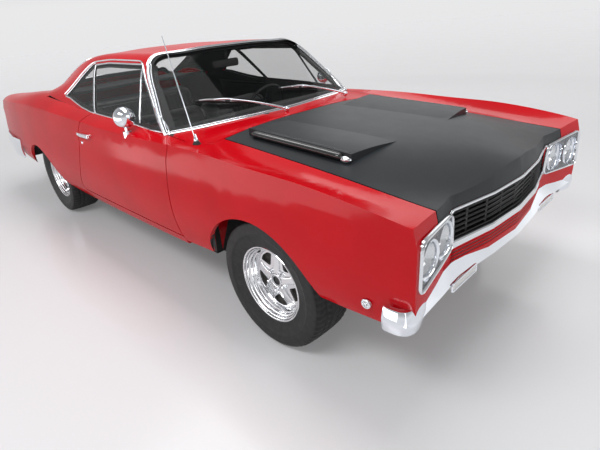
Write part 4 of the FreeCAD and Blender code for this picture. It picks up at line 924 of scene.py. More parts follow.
def make_surrounds():
    """Bright frames round each pair of lamps, with a steel plate inside them whose dark grey is partly its
    own and partly painted shade of the recess.
    """
    corners = [(0.517, 0.634), (0.864, 0.612), (0.857, 0.813), (0.700, 0.806), (0.535, 0.792)]
    outline = rounded(corners, 0.040, 8)
    for side, label in SIDES:
        ring = [(side * y, z) for y, z in outline]
        bm = bmesh.new()
        strip(bm, nose_path(ring + ring[:1], 0.0015)[:-1], FORWARD, 0.012, 0.016, True, 0.002)
        part(bm, "lamp_frame_" + label, steel, "body", 0.9)
        # plate with two round openings, dished towards each lamp
        lamps = [(abs(c.y), c.z) for c, _ in LAMPS if c.y * side > 0]
        opening = circle(Vector((1, 0)), Vector((0, 1)), OPENING_R, 48)
        bm = bmesh.new()
        punched(bm, [outline] + [[(ly + d.x, lz + d.y) for d in opening] for ly, lz in lamps], (1, 2))
        bmesh.ops.subdivide_edges(bm, edges=bm.edges[:], cuts=2, use_grid_fill=True)
        for v in bm.verts:
            near = min(abs(math.hypot(v.co.y - ly, v.co.z - lz) - OPENING_R) for ly, lz in lamps)
            v.co.x = fascia_x(v.co.y) + 0.0035 + 0.006 * max(0.0, 1 - near / 0.010)
            v.co.y *= side
        # the plate's dark colour is partly painted shade
        part(bm, "lamp_plate_" + label, dark_steel_with_painted_shade)


def make_lower_strip():
    """Broad flat strip under the grille, wider at its ends where it meets the lamp frames."""
    half = 0.515
    bm = bmesh.new()
    rings = []
    for p in nose_path([(-half, 0.640), (half, 0.640)], 0.001):
        wide = 0.029 + 0.005 * (abs(p.y) / half) ** 2
        rings.append([bm.verts.new(p + Vector((0.013 * v - 0.002, 0, u * wide - 0.001))) for u, v in (
            (0.5, 0.0), (0.5, 0.6), (0.36, 1.0), (-0.36, 1.0), (-0.5, 0.6), (-0.5, 0.0))])
    bridge(bm, rings, True, ends=True)
    part(bm, "grille_lower_strip", steel, "body", 0.6)


def make_nose_strips():
    """Mouldings that run level across the nose: half widths, heights, lift, step, section and look."""
    for name, ys, zs, lift, step, width, height, sink, mat, slot in (
            ("grille_upper_strip", (-0.545, -0.515, 0.515, 0.545), (0.7915,), 0.001, 0.02, 0.013, 0.009,
             0.001, steel, "chrome"),
            ("grille_fine_bars", (-0.497, 0.497), [0.666 + k * 0.0215 for k in range(6)], -0.004, 0.03, 0.004,
             0.004, 0.0, grille_black, None),
            ("valance_ribs", (-0.50, 0.50), (0.606, 0.590, 0.574, 0.558), 0.0, 0.02, 0.0085, 0.0055, 0.0015,
             red, "body_red"),
            # dark strips in the grooves between the valance ribs: painted shade
            ("valance_groove_shade", (-0.50, 0.50), (0.598, 0.582, 0.566), 0.0, 0.02, 0.0045, 0.0012, 0.0002,
             grille_black, None)):
        bm = bmesh.new()
        for z in zs:
            strip(bm, nose_path([(y, z) for y in ys], lift, step), FORWARD, width, height, sink=sink)
        part(bm, name, mat, "body")


def make_grille_liner():
    half, low, high, deep = 0.5132, 0.6528, 0.7822, 0.09
    bm = bmesh.new()
    for z in (low, high):
        line = nose_path([(-half, z), (half, z)], 0.0012)
        bridge(bm, [[bm.verts.new(p + BACK * d) for p in line] for d in (0.0, 0.022, deep)])
    x = fascia_x(half) + 0.0012
    for side in (-1, 1):
        bm.faces.new([bm.verts.new((at, side * half, z))
                      for at, z in ((x, low), (x, high), (x - deep, high), (x - deep, low))])
    part(bm, "grille_liner", grille_black)


def make_bumper_ends():
    """Bright ends that wrap the blade round each front corner."""
    mid_z = 0.508
    plan = [(2.4480, 0.9170), (2.4800, 0.9160), (2.5120, 0.9110), (2.5310, 0.8960), (2.5385, 0.8740),
            (2.5380, 0.8450), (2.5280, 0.8000), (2.5150, 0.7600)]
    section = [(-0.004, 0.4560), (0.0060, 0.4560), (0.0125, 0.4620), (0.0200, 0.4970), (0.0207, 0.5080),
               (0.0198, 0.5170), (0.0095, 0.5480), (0.0040, 0.5575), (-0.004, 0.5575)]
    line = smooth(plan, 5, 0.6)
    for side, label in SIDES:
        bm = bmesh.new()
        rings = []
        for i, p in enumerate(line):
            along = direction(line, i, False)
            out = Vector((-along.y, along.x))
            if (out.y if i < len(line) / 2 else out.x) < 0:
                out = -out
            end = min(1.0, i / 1.5)
            ring = []
            for off, z in section:
                q = p + out * (off * (0.80 + 0.20 * end))
                ring.append(bm.verts.new((q.x, side * q.y, mid_z + (z - mid_z) * (0.96 + 0.04 * end))))
            rings.append(ring)
        bridge(bm, rings, ends=True)
        part(bm, "bumper_end_" + label, chrome, "body", 0.5)


make_headlamps()
make_surrounds()
make_lower_strip()
make_nose_strips()


# hood
def make_scoop_parts():
    skin = surface_of("hood")
    count, x0, x1 = 60, 1.372, 1.985
    for side, label in SIDES:
        bm = bmesh.new()
        rings = []
        for i in range(count + 1):
            x = x0 + (x1 - x0) * (i / count)
            base_z = drop(skin, x, side * 0.560)[0].z
            tall = max(0.010, drop(skin, x, side * 0.540)[0].z - base_z - 0.004)
            end = math.sqrt(max(0.0, 1 - (1 - min(1.0, i / 2.5, (count - i) / 2.5)) ** 2))
            ring = []
            for a in range(13):
                t = math.pi * a / 12
                out = 0.031 * math.sin(t) ** 0.7 * (0.35 + 0.65 * end)
                z = base_z + 0.0015 + tall * (0.5 - 0.5 * math.cos(t)) * (0.5 + 0.5 * end)
                ring.append(bm.verts.new((x, side * (0.5475 + out), z)))
            rings.append(ring)
        bridge(bm, rings, ends=True)
        part(bm, "scoop_insert_" + label, gloss_black, "hood")
        # bright rounded tip at the front
        bm = bmesh.new()
        z0 = drop(skin, 2.005, side * 0.575)[0].z + 0.016
        for v in bmesh.ops.create_uvsphere(bm, u_segments=28, v_segments=16, radius=1.0)["verts"]:
            p = v.co.copy()
            squash = 1.0 - 0.25 * max(0.0, p.x)
            v.co = (2.002 + p.x * 0.030, side * 0.556 + p.y * 0.022 * squash, z0 + p.z * 0.018 * squash)
        part(bm, "scoop_tip_" + label, steel, "hood")
        # fine seam round the pad
        hits = [drop(skin, 1.350 + (2.010 - 1.350) * i / 60, side * 0.5335) for i in range(61)]
        hits = [hit for hit in hits if hit[0]]
        bm = bmesh.new()
        strip(bm, [p for p, _ in hits], [n for _, n in hits], 0.0035, 0.0012, sink=0.0002)
        part(bm, "scoop_seam_" + label, gloss_black, "hood")


make_scoop_parts()


# cabin
def make_headliner():
    """Dark lining inside the roof and its rear pillars, cast outwards from the cabin's middle."""
    shell = surface_of("roof", "quarter_panels", "rear_panels", "cowl")
    panes = surface_of("fixed_windows", "door_glass_left", "door_glass_right")
    rows = []
    for i in range(131):
        start = Vector((-1.10 + (0.55 + 1.10) * i / 130, 0, 1.02))
        row = []
        for k in range(121):
            a = math.radians(-96 + 192 * k / 120)
            way = Vector((0, math.sin(a), math.cos(a)))
            hit, stop = shell.ray_cast(start, way, 1.1), panes.ray_cast(start, way, 1.1)
            bare = hit[0] is None or (stop[0] is not None and stop[3] < hit[3]) or hit[3] < 0.12
            row.append(None if bare else hit[0] - way * 0.006)
        rows.append(row)
    part(sheet(rows, 0.06), "headliner", headliner)


def cushion_mesh(name, profile, y0, y1, radius, count):
    """A closed pad: a side-view profile swept across, with rounded ends."""
    bm = bmesh.new()
    cx = sum(p[0] for p in profile) / len(profile)
    cz = sum(p[1] for p in profile) / len(profile)
    rings = []
    for i in range(count + 1):
        y = y0 + (y1 - y0) * i / count
        edge = min(y - y0, y1 - y)
        pull = radius - math.sqrt(max(0.0, radius ** 2 - (radius - edge) ** 2)) if edge < radius else 0.0
        ring = []
        for x, z in profile:
            d = math.hypot(x - cx, z - cz)
            s = max(0.1, (d - pull) / d)
            ring.append(bm.verts.new((cx + (x - cx) * s, y, cz + (z - cz) * s)))
        rings.append(ring)
    bridge(bm, rings, True, ends=True)
    bmesh.ops.recalc_face_normals(bm, faces=bm.faces)
    mesh = bpy.data.meshes.new(name)
    bm.to_mesh(mesh)
    bm.free()
    return mesh


def fine_profile(points, radius, spacing=0.02):
    pts = rounded(points, radius, 6)
    out = []
    for i, p in enumerate(pts):
        a, b = Vector(p), Vector(pts[(i + 1) % len(pts)])
        n = max(1, int((b - a).length / spacing))
        for k in range(n):
            q = a.lerp(b, k / n)
            if not out or (Vector(out[-1]) - q).length > 0.003:
                out.append(tuple(q))
    return out


def inflate(o, pressure, cap, voxel, frames=20):
    """Swells a pad as cloth under pressure, keeps each point within a cap, and applies the result."""
    bpy.context.view_layer.objects.active = o
    m = o.modifiers.new("remesh", "REMESH")
    m.mode = "VOXEL"
    m.voxel_size = voxel
    m.use_smooth_shade = True
    apply_modifier(o, m)
    start = [v.co.copy() for v in o.data.vertices]
    c = o.modifiers.new("cloth", "CLOTH")
    c.settings.use_pressure = True
    c.settings.uniform_pressure_force = pressure
    c.settings.effector_weights.gravity = 0
    c.settings.quality = 5
    c.settings.tension_stiffness = 12
    c.settings.compression_stiffness = 12
    c.settings.bending_stiffness = 0.4
    c.collision_settings.use_collision = False
    c.point_cache.frame_start = 1
    c.point_cache.frame_end = frames
    for f in range(1, frames + 1):
        scene.frame_set(f)
    dep = bpy.context.evaluated_depsgraph_get()
    swollen = [v.co.copy() for v in o.evaluated_get(dep).data.vertices]
    o.modifiers.remove(c)
    scene.frame_set(1)
    for v, s, e in zip(o.data.vertices, start, swollen):
        d = e - s
        v.co = s + (d.normalized() * cap if d.length > cap else d)


def pleats(o, low_y, high_y, strength_at, seams, spacing=0.047, depth=0.0065):
    """Presses sewn channels and seams into a pad."""
    o.data.update()
    moves = []
    for v in o.data.vertices:
        strength = strength_at(v.co, v.normal)
        d = 0.0
        if strength > 0 and low_y < v.co.y < high_y:
            phase = ((v.co.y - low_y) / spacing) % 1.0
            near = min(phase, 1 - phase) * spacing
            d = depth * math.exp(-(near / 0.0065) ** 2) * strength
        for seam in seams:
            d = max(d, depth * 1.3 * math.exp(-(seam(v.co) / 0.007) ** 2))
        moves.append(v.normal * d)
    for v, m in zip(o.data.vertices, moves):
        v.co -= m


def soft_piece(name, profile, radius, ys, end_radius, cap, channel_ys, strength_at, seams):
    y0, y1 = ys
    count = max(12, int((y1 - y0) / 0.025))
    mesh = cushion_mesh(name, fine_profile(profile, radius), y0, y1, end_radius, count)
    o = bpy.data.objects.new(name, mesh)
    scene.collection.objects.link(o)
    mesh.materials.append(vinyl_black)
    inflate(o, 4.0, cap, 0.0125)
    sub = o.modifiers.new("subdivision", "SUBSURF")
    sub.levels = 1
    apply_modifier(o, sub)
    pleats(o, *channel_ys, strength_at, seams)
    o.data.shade_smooth()
    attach(o, "body")
    return o


def ramped(value, start):
    return max(0.0, min(1.0, (value - start) * 3))


def seam_at(axis, place, where):
    """Distance from a sewn line across one axis, on the part of the pad where it is sewn."""
    return lambda co: abs(co[axis] - place) if where(co) else 1.0


def cushion(name, prof, ys, channel_ys, top, front, cross_seams):
    """A seat cushion: pleated on top, back from its front roll."""
    on_top = lambda co: co.z > top - 0.06
    seams = [seam_at(1, y, on_top) for y in cross_seams] + [seam_at(0, front, on_top)]
    return soft_piece(name, prof, 0.045, ys, 0.05, 0.012, channel_ys,
                      lambda co, n: ramped(n.z, 0.35) if co.x < front else 0.0, seams)


def back_rest(name, prof, radius, ys, channel_ys, height, seams):
    """A seat back: pleated at the front, up to its top roll."""
    return soft_piece(name, prof, radius, ys, 0.06, 0.013, channel_ys,
                      lambda co, n: ramped(n.x, 0.30) if co.z < height else 0.0, seams)


def make_front_seat():
    front, rear, top = 0.590, 0.090, 0.560
    first = None
    for label, y0, y1 in (("right", -0.630, -0.004), ("left", 0.004, 0.630)):
        low, high = y0 + 0.085, y1 - 0.085
        prof = [(rear + 0.10, 0.395), (front - 0.020, 0.405), (front - 0.012, top - 0.022),
                (rear + 0.05, top - 0.014), (rear + 0.05, 0.42)]
        o = cushion("seat_cushion_" + label, prof, (y0, y1), (low, high), top, front - 0.075, (low, high))
        first = first or o
        prof = [(rear + 0.030, top - 0.060), (rear + 0.125, top - 0.050), (rear + 0.060, 0.925),
                (rear - 0.035, 0.955), (rear - 0.130, 0.935), (rear - 0.070, top + 0.05)]
        on_face = lambda co: co.x > rear - (co.z - top) * 0.17
        near_face = lambda co: co.x > rear - 0.03
        seams = [seam_at(1, low, on_face), seam_at(1, high, on_face), seam_at(2, 0.880, near_face)]
        back_rest("seat_back_" + label, prof, 0.045, (y0, y1), (low, high), 0.880, seams)
    # plain base between the cushions and the floor, and the bright hinge covers at the sides
    bm = bmesh.new()
    for side in (-1, 1):
        y = side * 0.4025
        block(bm, (0.135, y - 0.135, 0.3145), (0.430, y + 0.135, 0.400), 0.012)
        block(bm, (0.120, side * 0.19 - (0.0 if side > 0 else 0.42), 0.372),
              (0.560, side * 0.19 + (0.42 if side > 0 else 0.0), 0.412), 0.012)
    part(bm, "seat_base", dash_black, "body")
    bm = bmesh.new()
    for side in (-1, 1):
        pts = [Vector((x, side * y, z)) for x, y, z in (
            (0.215, 0.632, 0.470), (0.165, 0.636, 0.500), (0.125, 0.636, 0.570), (0.108, 0.634, 0.640))]
        tube(bm, pts, [0.010, 0.013, 0.013, 0.008], 10)
    part(bm, "seat_hinges", steel)
    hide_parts("front_seat")


def make_rear_seat():
    back_x, front, top = -0.860, -0.440, 0.610
    ys, channel_ys = (-0.552, 0.552), (-0.47, 0.47)
    prof = [(back_x + 0.02, 0.525), (front - 0.015, 0.500), (front - 0.015, top - 0.020),
            (back_x + 0.02, top - 0.018)]
    first = cushion("rear_cushion", prof, ys, channel_ys, top, front - 0.070, (0.0,))
    prof = [(back_x - 0.120, 0.530), (back_x + 0.060, 0.560), (back_x - 0.082, 0.965),
            (back_x - 0.200, 0.985), (back_x - 0.210, 0.965)]
    on_face = lambda co: co.x > back_x - 0.14
    seams = [seam_at(2, 0.925, on_face), seam_at(1, 0.0, on_face)]
    back_rest("rear_back", prof, 0.040, ys, channel_ys, 0.925, seams)
    bm = bmesh.new()
    for y0, y1, z in ((-0.555, -0.175, 0.316), (0.175, 0.555, 0.316), (-0.555, 0.555, 0.478)):
        block(bm, (-0.528, y0, z), (-0.462, y1, 0.520), 0.010)
    part(bm, "rear_seat_base", dash_black, "body")
    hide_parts("rear_seat")


def make_door_trims():
    x0, x1, z0, z1 = 0.02, 0.955, 0.455, 0.962
    for side, label in SIDES:
        door = surface_of("door_" + label)
        rows = []
        for i in range(40):
            x = x0 + (x1 - x0) * i / 39
            row = []
            for k in range(22):
                z = z0 + (z1 - z0) * k / 21
                hit = door.ray_cast(Vector((x, side * 0.5, z)), Vector((0, side, 0)))[0]
                y = abs(hit.y) if hit and abs(hit.y) < 0.87 else 0.805
                pleat = 0.0018 * abs(math.sin(x * math.pi / 0.048)) if 0.50 < z < 0.80 else 0.0
                bulge = 0.004 if 0.815 < z < 0.86 else 0.0
                row.append(Vector((x, side * (y - 0.003 - pleat - bulge), z)))
            rows.append(row)
        part(sheet(rows), "door_trim_" + label, vinyl_black, "door_" + label)
        # armrest, then window crank and pull
        arch = [math.sin(math.pi * k / 12) for k in range(13)]
        bm = bmesh.new()
        line = [Vector((0.16 + 0.30 * k / 12, side * (0.792 - 0.018 * h), 0.640)) for k, h in enumerate(arch)]
        tube(bm, line, [0.014 + 0.012 * h for h in arch], 12)
        part(bm, "arm_rest_" + label, vinyl_black, "door_" + label)
        bm = bmesh.new()
        inwards = Vector((0, -side, 0))
        for cx, cz, reach in ((0.56, 0.66, 0.075), (0.70, 0.72, 0.055)):
            revolve(bm, [(0.0, 0.020), (0.010, 0.018), (0.014, 0.010), (0.015, 0.0)],
                    Vector((cx, side * 0.799, cz)), inwards, 20)
            line = [Vector((cx + reach * a, side * y, cz - reach * b))
                    for a, y, b in ((0, 0.787, 0), (0.8, 0.783, 0.4), (1, 0.779, 0.5))]
            tube(bm, line, [0.006, 0.0055, 0.005], 8)
            revolve(bm, [(-0.004, 0.007), (0.008, 0.011), (0.018, 0.010), (0.022, 0.0)],
                    Vector((cx + reach, side * 0.781, cz - reach * 0.5)), inwards, 14)
        part(bm, "door_cranks_" + label, steel, "door_" + label)


def make_quarter_trims():
    shell = surface_of("quarter_panels", "rear_panels")
    x0, x1, z0, z1 = -0.92, -0.14, 0.54, 0.985
    for side, label in SIDES:
        rows = []
        for i in range(26):
            x = x0 + (x1 - x0) * i / 25
            row = []
            for k in range(16):
                z = z0 + (z1 - z0) * k / 15
                hit = shell.ray_cast(Vector((x, side * 0.3, z)), Vector((0, side, 0)))[0]
                y = abs(hit.y) if hit else 0.80
                row.append(Vector((x, side * (min(y, 0.93) - 0.006), z)))
            rows.append(row)
        part(sheet(rows), "quarter_trim_" + label, vinyl_black, "body")


def make_dash_parts():
    bm = bmesh.new()
    # round dials ahead of the driver and a row of knobs
    for y, z, r in ((0.475, 0.862, 0.052), (0.345, 0.862, 0.052), (0.245, 0.850, 0.026),
                    (0.555, 0.850, 0.022)):
        c = Vector((0.792, y, z))
        revolve(bm, [(0.0, r + 0.007), (0.010, r + 0.006), (0.012, r + 0.003), (0.004, r), (0.003, 0.0)], c,
                BACK, 40, mat=[0, 0, 0, 1])
        needle = [c + Vector((-0.006, 0, 0)), c + Vector((-0.006, -r * 0.55, r * 0.6))]
        tube(bm, needle, [0.0018, 0.0008], 6, mat=2)
    for k in range(5):
        revolve(bm, [(0.0, 0.010), (0.016, 0.009), (0.019, 0.006), (0.019, 0.0)],
                Vector((0.795, -0.06 + k * 0.045, 0.800)), BACK, 18)
    part(bm, "dash_dials", [steel, grille_black, bulb_core])
    bm = bmesh.new()
    for x, z, width in ((0.7885, 0.905, 0.010), (0.797, 0.768, 0.006)):
        strip(bm, [Vector((x, y / 100, z)) for y in range(-70, 71, 5)], BACK, width, 0.004)
    part(bm, "dash_bright_strips", steel)
    bm = bmesh.new()
    tube(bm, [Vector((0.812, y / 100, 0.938)) for y in range(-72, 73, 4)], 0.016, 12)
    part(bm, "dash_pad", vinyl_black, "body")


def make_steering_wheel():
    place = joints["steering_wheel_turn"]
    axis = Vector(place["axis"]).normalized()
    if axis.x > 0:
        axis = -axis
    lo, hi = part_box("steering_wheel")
    centre = (Vector(lo) + Vector(hi)) / 2
    # the rim lies in a plane across the axis through the middle of the CAD ring
    offsets = [v.co - centre for v in nodes["steering_wheel"].data.vertices]
    far = [(d + centre).dot(axis) for d in offsets if (d - axis * d.dot(axis)).length > 0.17]
    c = Vector(place["pos_m"])
    c += axis * (sum(far) / len(far) - c.dot(axis))
    ref = Vector((0, 1, 0))
    up = axis.cross(ref).normalized()
    bm = bmesh.new()
    n = 96
    grips = [0.0115 - 0.0012 * (k % 4 == 0) for k in range(n)]
    tube(bm, [c + d for d in circle(ref, up, 0.190, n)], grips, 14, closed=True)
    for a in (0, math.pi, 1.5 * math.pi):
        out = ref * math.cos(a) + up * math.sin(a)
        side = axis.cross(out)
        rings = []
        for s, w in ((0.030, 0.020), (0.080, 0.014), (0.140, 0.013), (0.184, 0.017)):
            fall = 0.008 * (1 - s / 0.19)
            rings.append([bm.verts.new(c + out * s + side * w * u + axis * (0.0028 * v - fall))
                          for u, v in ((-1, -1), (-1, 1), (-0.4, 1.6), (0.4, 1.6), (1, 1), (1, -1))])
        bridge(bm, rings, True, mat=1)
    revolve(bm, [(-0.038, 0.036), (-0.010, 0.038), (0.006, 0.034), (0.014, 0.022), (0.016, 0.0)], c, axis, 40)
    revolve(bm, [(0.004, 0.036), (0.008, 0.0355), (0.009, 0.033)], c, axis, 40, mat=1)
    part(bm, "steering_wheel_dressed", [dash_black, steel], "steering_wheel",
         stands_for="steering_wheel")


def make_cabin_mirror():
    lo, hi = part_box("cabin_mirror")
    bm = bmesh.new()
    x0, z0, z1, half = lo.x, lo.z, lo.z + 0.056, 0.115
    mid = (z0 + z1) / 2
    # rounded housing with a face towards the rear
    prof = rounded([(-half, z0), (half, z0), (half, z1), (-half, z1)], 0.020, 6)
    rings = [[bm.verts.new((x0 + d, y * s, (z - mid) * s + mid)) for y, z in prof]
             for d, s in ((-0.0006, 0.92), (0.002, 0.985), (0.009, 1.0), (0.0155, 0.93), (0.018, 0.75))]
    bridge(bm, rings, True)
    bm.faces.new(rings[0]).material_index = 1
    bm.faces.new(rings[-1])
    mid_x = (lo.x + hi.x) / 2
    tube(bm, [Vector((mid_x + 0.004, 0, z1 - 0.004)), Vector((mid_x + 0.006, 0, hi.z))], 0.007, 12)
    part(bm, "cabin_mirror_dressed", [dash_black, chrome], "body", stands_for="cabin_mirror")


make_headliner()
make_front_seat()
make_rear_seat()
make_door_trims()
make_quarter_trims()
make_dash_parts()
make_steering_wheel()
make_cabin_mirror()


# clear panes, reveals and outside fittings
def make_panes(step=0.0125):
    """Smooth panes just under the outer face of each CAD pane."""
    for node, body in PANES:
        tree = surface_of(node)
        first = None
        for pts, nor, middle in pane_loops(node):
            mean = sum(nor, Vector()).normalized()
            u = UP.cross(mean)
            u = (u if u.length > 0.1 else FORWARD).normalized()
            v = mean.cross(u)
            us, vs = [(p - middle).dot(u) for p in pts], [(p - middle).dot(v) for p in pts]
            nu, nv = (int((max(s) - min(s)) / step) + 3 for s in (us, vs))
            grid = []
            for k in range(nv):
                row = []
                for i in range(nu):
                    at = u * (min(us) - step + i * step) + v * (min(vs) - step + k * step)
                    hit = tree.ray_cast(middle + at + mean * 0.6, -mean, 1.2)
                    found = hit[0] is not None and hit[1].dot(mean) > 0.3
                    row.append(hit[0] - mean * 0.0008 if found else None)
                grid.append(row)
            bm = sheet(grid)
            for _ in range(14):
                moves = []
                for w in bm.verts:
                    if len(w.link_edges) == 4 and not w.is_boundary:
                        away = sum((e.other_vert(w).co for e in w.link_edges), Vector()) / 4 - w.co
                        moves.append((w, mean * away.dot(mean) * 0.6))
                for w, m in moves:
                    w.co += m
            kind = pane_kind(node, middle)
            name = "windscreen_pane" if kind == "windscreen" else kind.replace("window", "pane")
            # side panes take the grey glass whose lightness is painted reflection
            o = part(bm, name, grey_glass_with_painted_reflection if abs(middle.y) > 0.3 else window_glass, body)
            first = first or o
        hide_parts(node)


def shrink_loop(pts, nor, across, up, amount):
    """The loop drawn in by one width on every side, along the pane and without folds."""
    wide, tall = [p.dot(across) for p in pts], [p.dot(up) for p in pts]
    (mid_w, half_w), (mid_t, half_t) = (((max(s) + min(s)) / 2, (max(s) - min(s)) / 2) for s in (wide, tall))
    out = []
    for p, n, w, t in zip(pts, nor, wide, tall):
        move = across * ((mid_w - w) * amount / half_w) + up * ((mid_t - t) * amount / half_t)
        out.append(p + move - n * move.dot(n))
    return out


def make_reveals():
    """Dark linings behind the edges of each pane."""
    for kind, (pts, nor, middle, body, big) in trims.items():
        across = Vector((0, 1, 0)) if big else FORWARD
        up = sum(nor, Vector()).normalized().cross(across).normalized()
        inner = shrink_loop(pts, nor, across, up, 0.052 if big else 0.030)
        bm = bmesh.new()
        bridge(bm, [[bm.verts.new(p - n * depth) for p, n in zip(line, nor)]
                    for line, depth in ((pts, 0.0035), (inner, 0.0080))], True)
        part(bm, kind + "_lining", headliner, body)
        if big:
            bm = bmesh.new()
            strip(bm, offset_loop(pts, nor, middle, -0.0145), nor, 0.0085, 0.0055, True)
            part(bm, kind + "_inner_trim", steel, "body")


def make_vents():
    """The slanted bar and seal of each door window's front pane."""
    (x0, z0), (x1, z1) = (0.6195, 0.975), (0.4890, 1.322)
    for side, label in SIDES:
        tree = surface_of("door_glass_" + label)
        shares = [k / 24 for k in range(25)]
        hits = [from_outside(tree, x0 + (x1 - x0) * s, z0 + (z1 - z0) * s, side) for s in shares]
        pts, nor = [p for p, _ in hits if p is not None], [n for _, n in hits if n is not None]
        bm = bmesh.new()
        strip(bm, pts, nor, 0.015, 0.008, sink=0.001)
        strip(bm, [p + Vector((-0.0105, 0, -0.003)) for p in pts], nor, 0.006, 0.004, sink=0.001, mat=1)
        part(bm, "vent_bar_" + label, [steel, rubber], "door_" + label, 0.9)


def make_drip_rails():
    shell = surface_of("roof", "quarter_panels", "cowl", "front_fenders")
    outline = [(0.955, 0.925), (0.481, 1.345), (-0.020, 1.352), (-0.3165, 1.334), (-0.494, 1.228),
               (-0.668, 1.094)]
    path = rounded(outline, 0.07, 8, closed=False)
    for side, label in SIDES:
        pts, nor = [], []
        for (x0, z0), (x1, z1) in zip(path, path[1:]):
            n = max(1, int(math.hypot(x1 - x0, z1 - z0) / 0.02))
            for k in range(n):
                p, m = from_outside(shell, x0 + (x1 - x0) * k / n, z0 + (z1 - z0) * k / n, side)
                if p is not None and abs(p.y) > 0.5 and (not pts or (p - pts[-1]).length < 0.09):
                    pts.append(p)
                    nor.append(m)
        for _ in range(4):
            pts = pts[:1] + [(a + b * 2 + c) / 4 for a, b, c in zip(pts, pts[1:], pts[2:])] + pts[-1:]
            eased = [(a + b * 2 + c).normalized() for a, b, c in zip(nor, nor[1:], nor[2:])]
            nor = nor[:1] + eased + nor[-1:]
        bm = bmesh.new()
        strip(bm, pts, nor, 0.011, 0.012, sink=0.002)
        part(bm, "drip_rail_" + label, steel, "body", 0.9)


def make_handles():
    """Bright pull handles with a push button, and the lock below."""
    z, outermost = 0.8962, 0.9712
    for side, label in SIDES:
        door = surface_of("door_" + label)
        out = Vector((0, side, 0))
        base = min(abs(from_outside(door, x, 0.875, side)[0].y) for x in (-0.085, -0.03, 0.03))
        bm = bmesh.new()
        rings = []
        for k in range(15):
            u = k / 14
            y = base + 0.006 + 0.024 * math.sin(math.pi * u) ** 0.35
            p = Vector((0.124 - 0.190 * u, side * min(y, 0.9665), z))
            tall = 0.0085 + 0.0030 * math.sin(math.pi * u)
            rings.append([bm.verts.new(p + Vector((0, side * 0.0050 * d.x, tall * d.y)))
                          for d in circle(Vector((1, 0)), Vector((0, 1)), 1.0, 10)])
        bridge(bm, rings, True, ends=True)
        ys = sorted((side * (base - 0.004), side * min(base + 0.0245, outermost)))
        block(bm, (-0.068, ys[0], 0.8840), (0.1180, ys[1], 0.9082), 0.006)
        revolve(bm, [(0.0, 0.010), (0.008, 0.0095), (0.0100, 0.008), (0.0106, 0.0)],
                Vector((-0.0500, side * 0.9610, z)), out, 20)
        revolve(bm, [(-0.002, 0.0125), (0.003, 0.0120), (0.0045, 0.0095), (0.0035, 0.0085), (0.0030, 0.0)],
                from_outside(door, -0.031, 0.838, side)[0], out, 24)
        part(bm, "door_handle_" + label, chrome, "door_" + label, 0.9)


def arched(a, b, count, up, lift, rise):
    """Points from a to b, bowed upwards, and how far each is along the bow."""
    bow = [math.sin(math.pi * k / count) for k in range(count + 1)]
    return [a.lerp(b, k / count) + up * (lift + rise * h) for k, h in enumerate(bow)], bow


def wiper(bm, a, b, pivot, up):
    """A wiper: rubber edge, sprung bridge and bright tapered arm."""
    n = 16
    pts = [a.lerp(b, k / n) for k in range(n + 1)]
    tube(bm, [p + up * 0.0015 for p in pts], 0.0060, 8, mat=1)
    side = (b - a).normalized().cross(up).normalized()
    for p, q in zip(pts, pts[1:]):
        bm.faces.new([bm.verts.new(at) for at in (
            p - up * 0.010 + side * 0.0012, q - up * 0.010 + side * 0.0012, q + side * 0.0025,
            p + side * 0.0025)]).material_index = 1
    for s, e in ((0.04, 0.46), (0.54, 0.96)):
        line, bow = arched(a.lerp(b, s), a.lerp(b, e), 8, up, 0.005, 0.008)
        tube(bm, line, [0.0042 + 0.0018 * h for h in bow], 8, mat=2)
    line, bow = arched(a.lerp(b, 0.25), a.lerp(b, 0.75), 10, up, 0.012, 0.010)
    tube(bm, line, [0.0048 + 0.0024 * h for h in bow], 8)
    line, _ = arched(pivot, a.lerp(b, 0.5) + up * 0.022, 12, up, 0.0, 0.010)
    tube(bm, line, [0.0085 - 0.0048 * (k / 12) for k in range(13)], 10)
    revolve(bm, [(-0.016, 0.0150), (0.004, 0.0145), (0.010, 0.0115), (0.0125, 0.0060), (0.013, 0.0)], pivot,
            up, 24)


def make_wipers():
    screen = surface_of("fixed_windows")
    up = Vector((0.62, 0, 0.78)).normalized()
    # blade ends as shares of the car's length, half width and height
    size = Vector((5.149, 0.9705, 1.4))
    bm = bmesh.new()
    for pivot_y, ends in ((-0.078, ((0.16392, -0.56260, 0.78286), (0.19324, -0.21020, 0.74000))),
                          (0.508, ((0.18431, 0.03812, 0.77429), (0.18567, 0.43998, 0.73714)))):
        tips = []
        for share in ends:
            p = Vector(share) * size
            hit = screen.ray_cast(p + up * 0.2, -up)[0]
            tips.append((hit if hit is not None else p) + up * 0.0185)
        wiper(bm, tips[0], tips[1], Vector((1.1465, pivot_y, 1.0010)), up)
    part(bm, "wipers_dressed", [chrome, rubber, cast], "body", stands_for="wipers")


def frame_points(x, lo, hi, side_gap, low_gap, high_gap, radius, steps):
    """A rounded frame round a lamp's face, at one place along the car."""
    y0, y1, z0, z1 = lo.y - side_gap, hi.y + side_gap, lo.z - low_gap, hi.z + high_gap
    return [Vector((x, y, z)) for y, z in rounded([(y0, z0), (y1, z0), (y1, z1), (y0, z1)], radius, steps)]


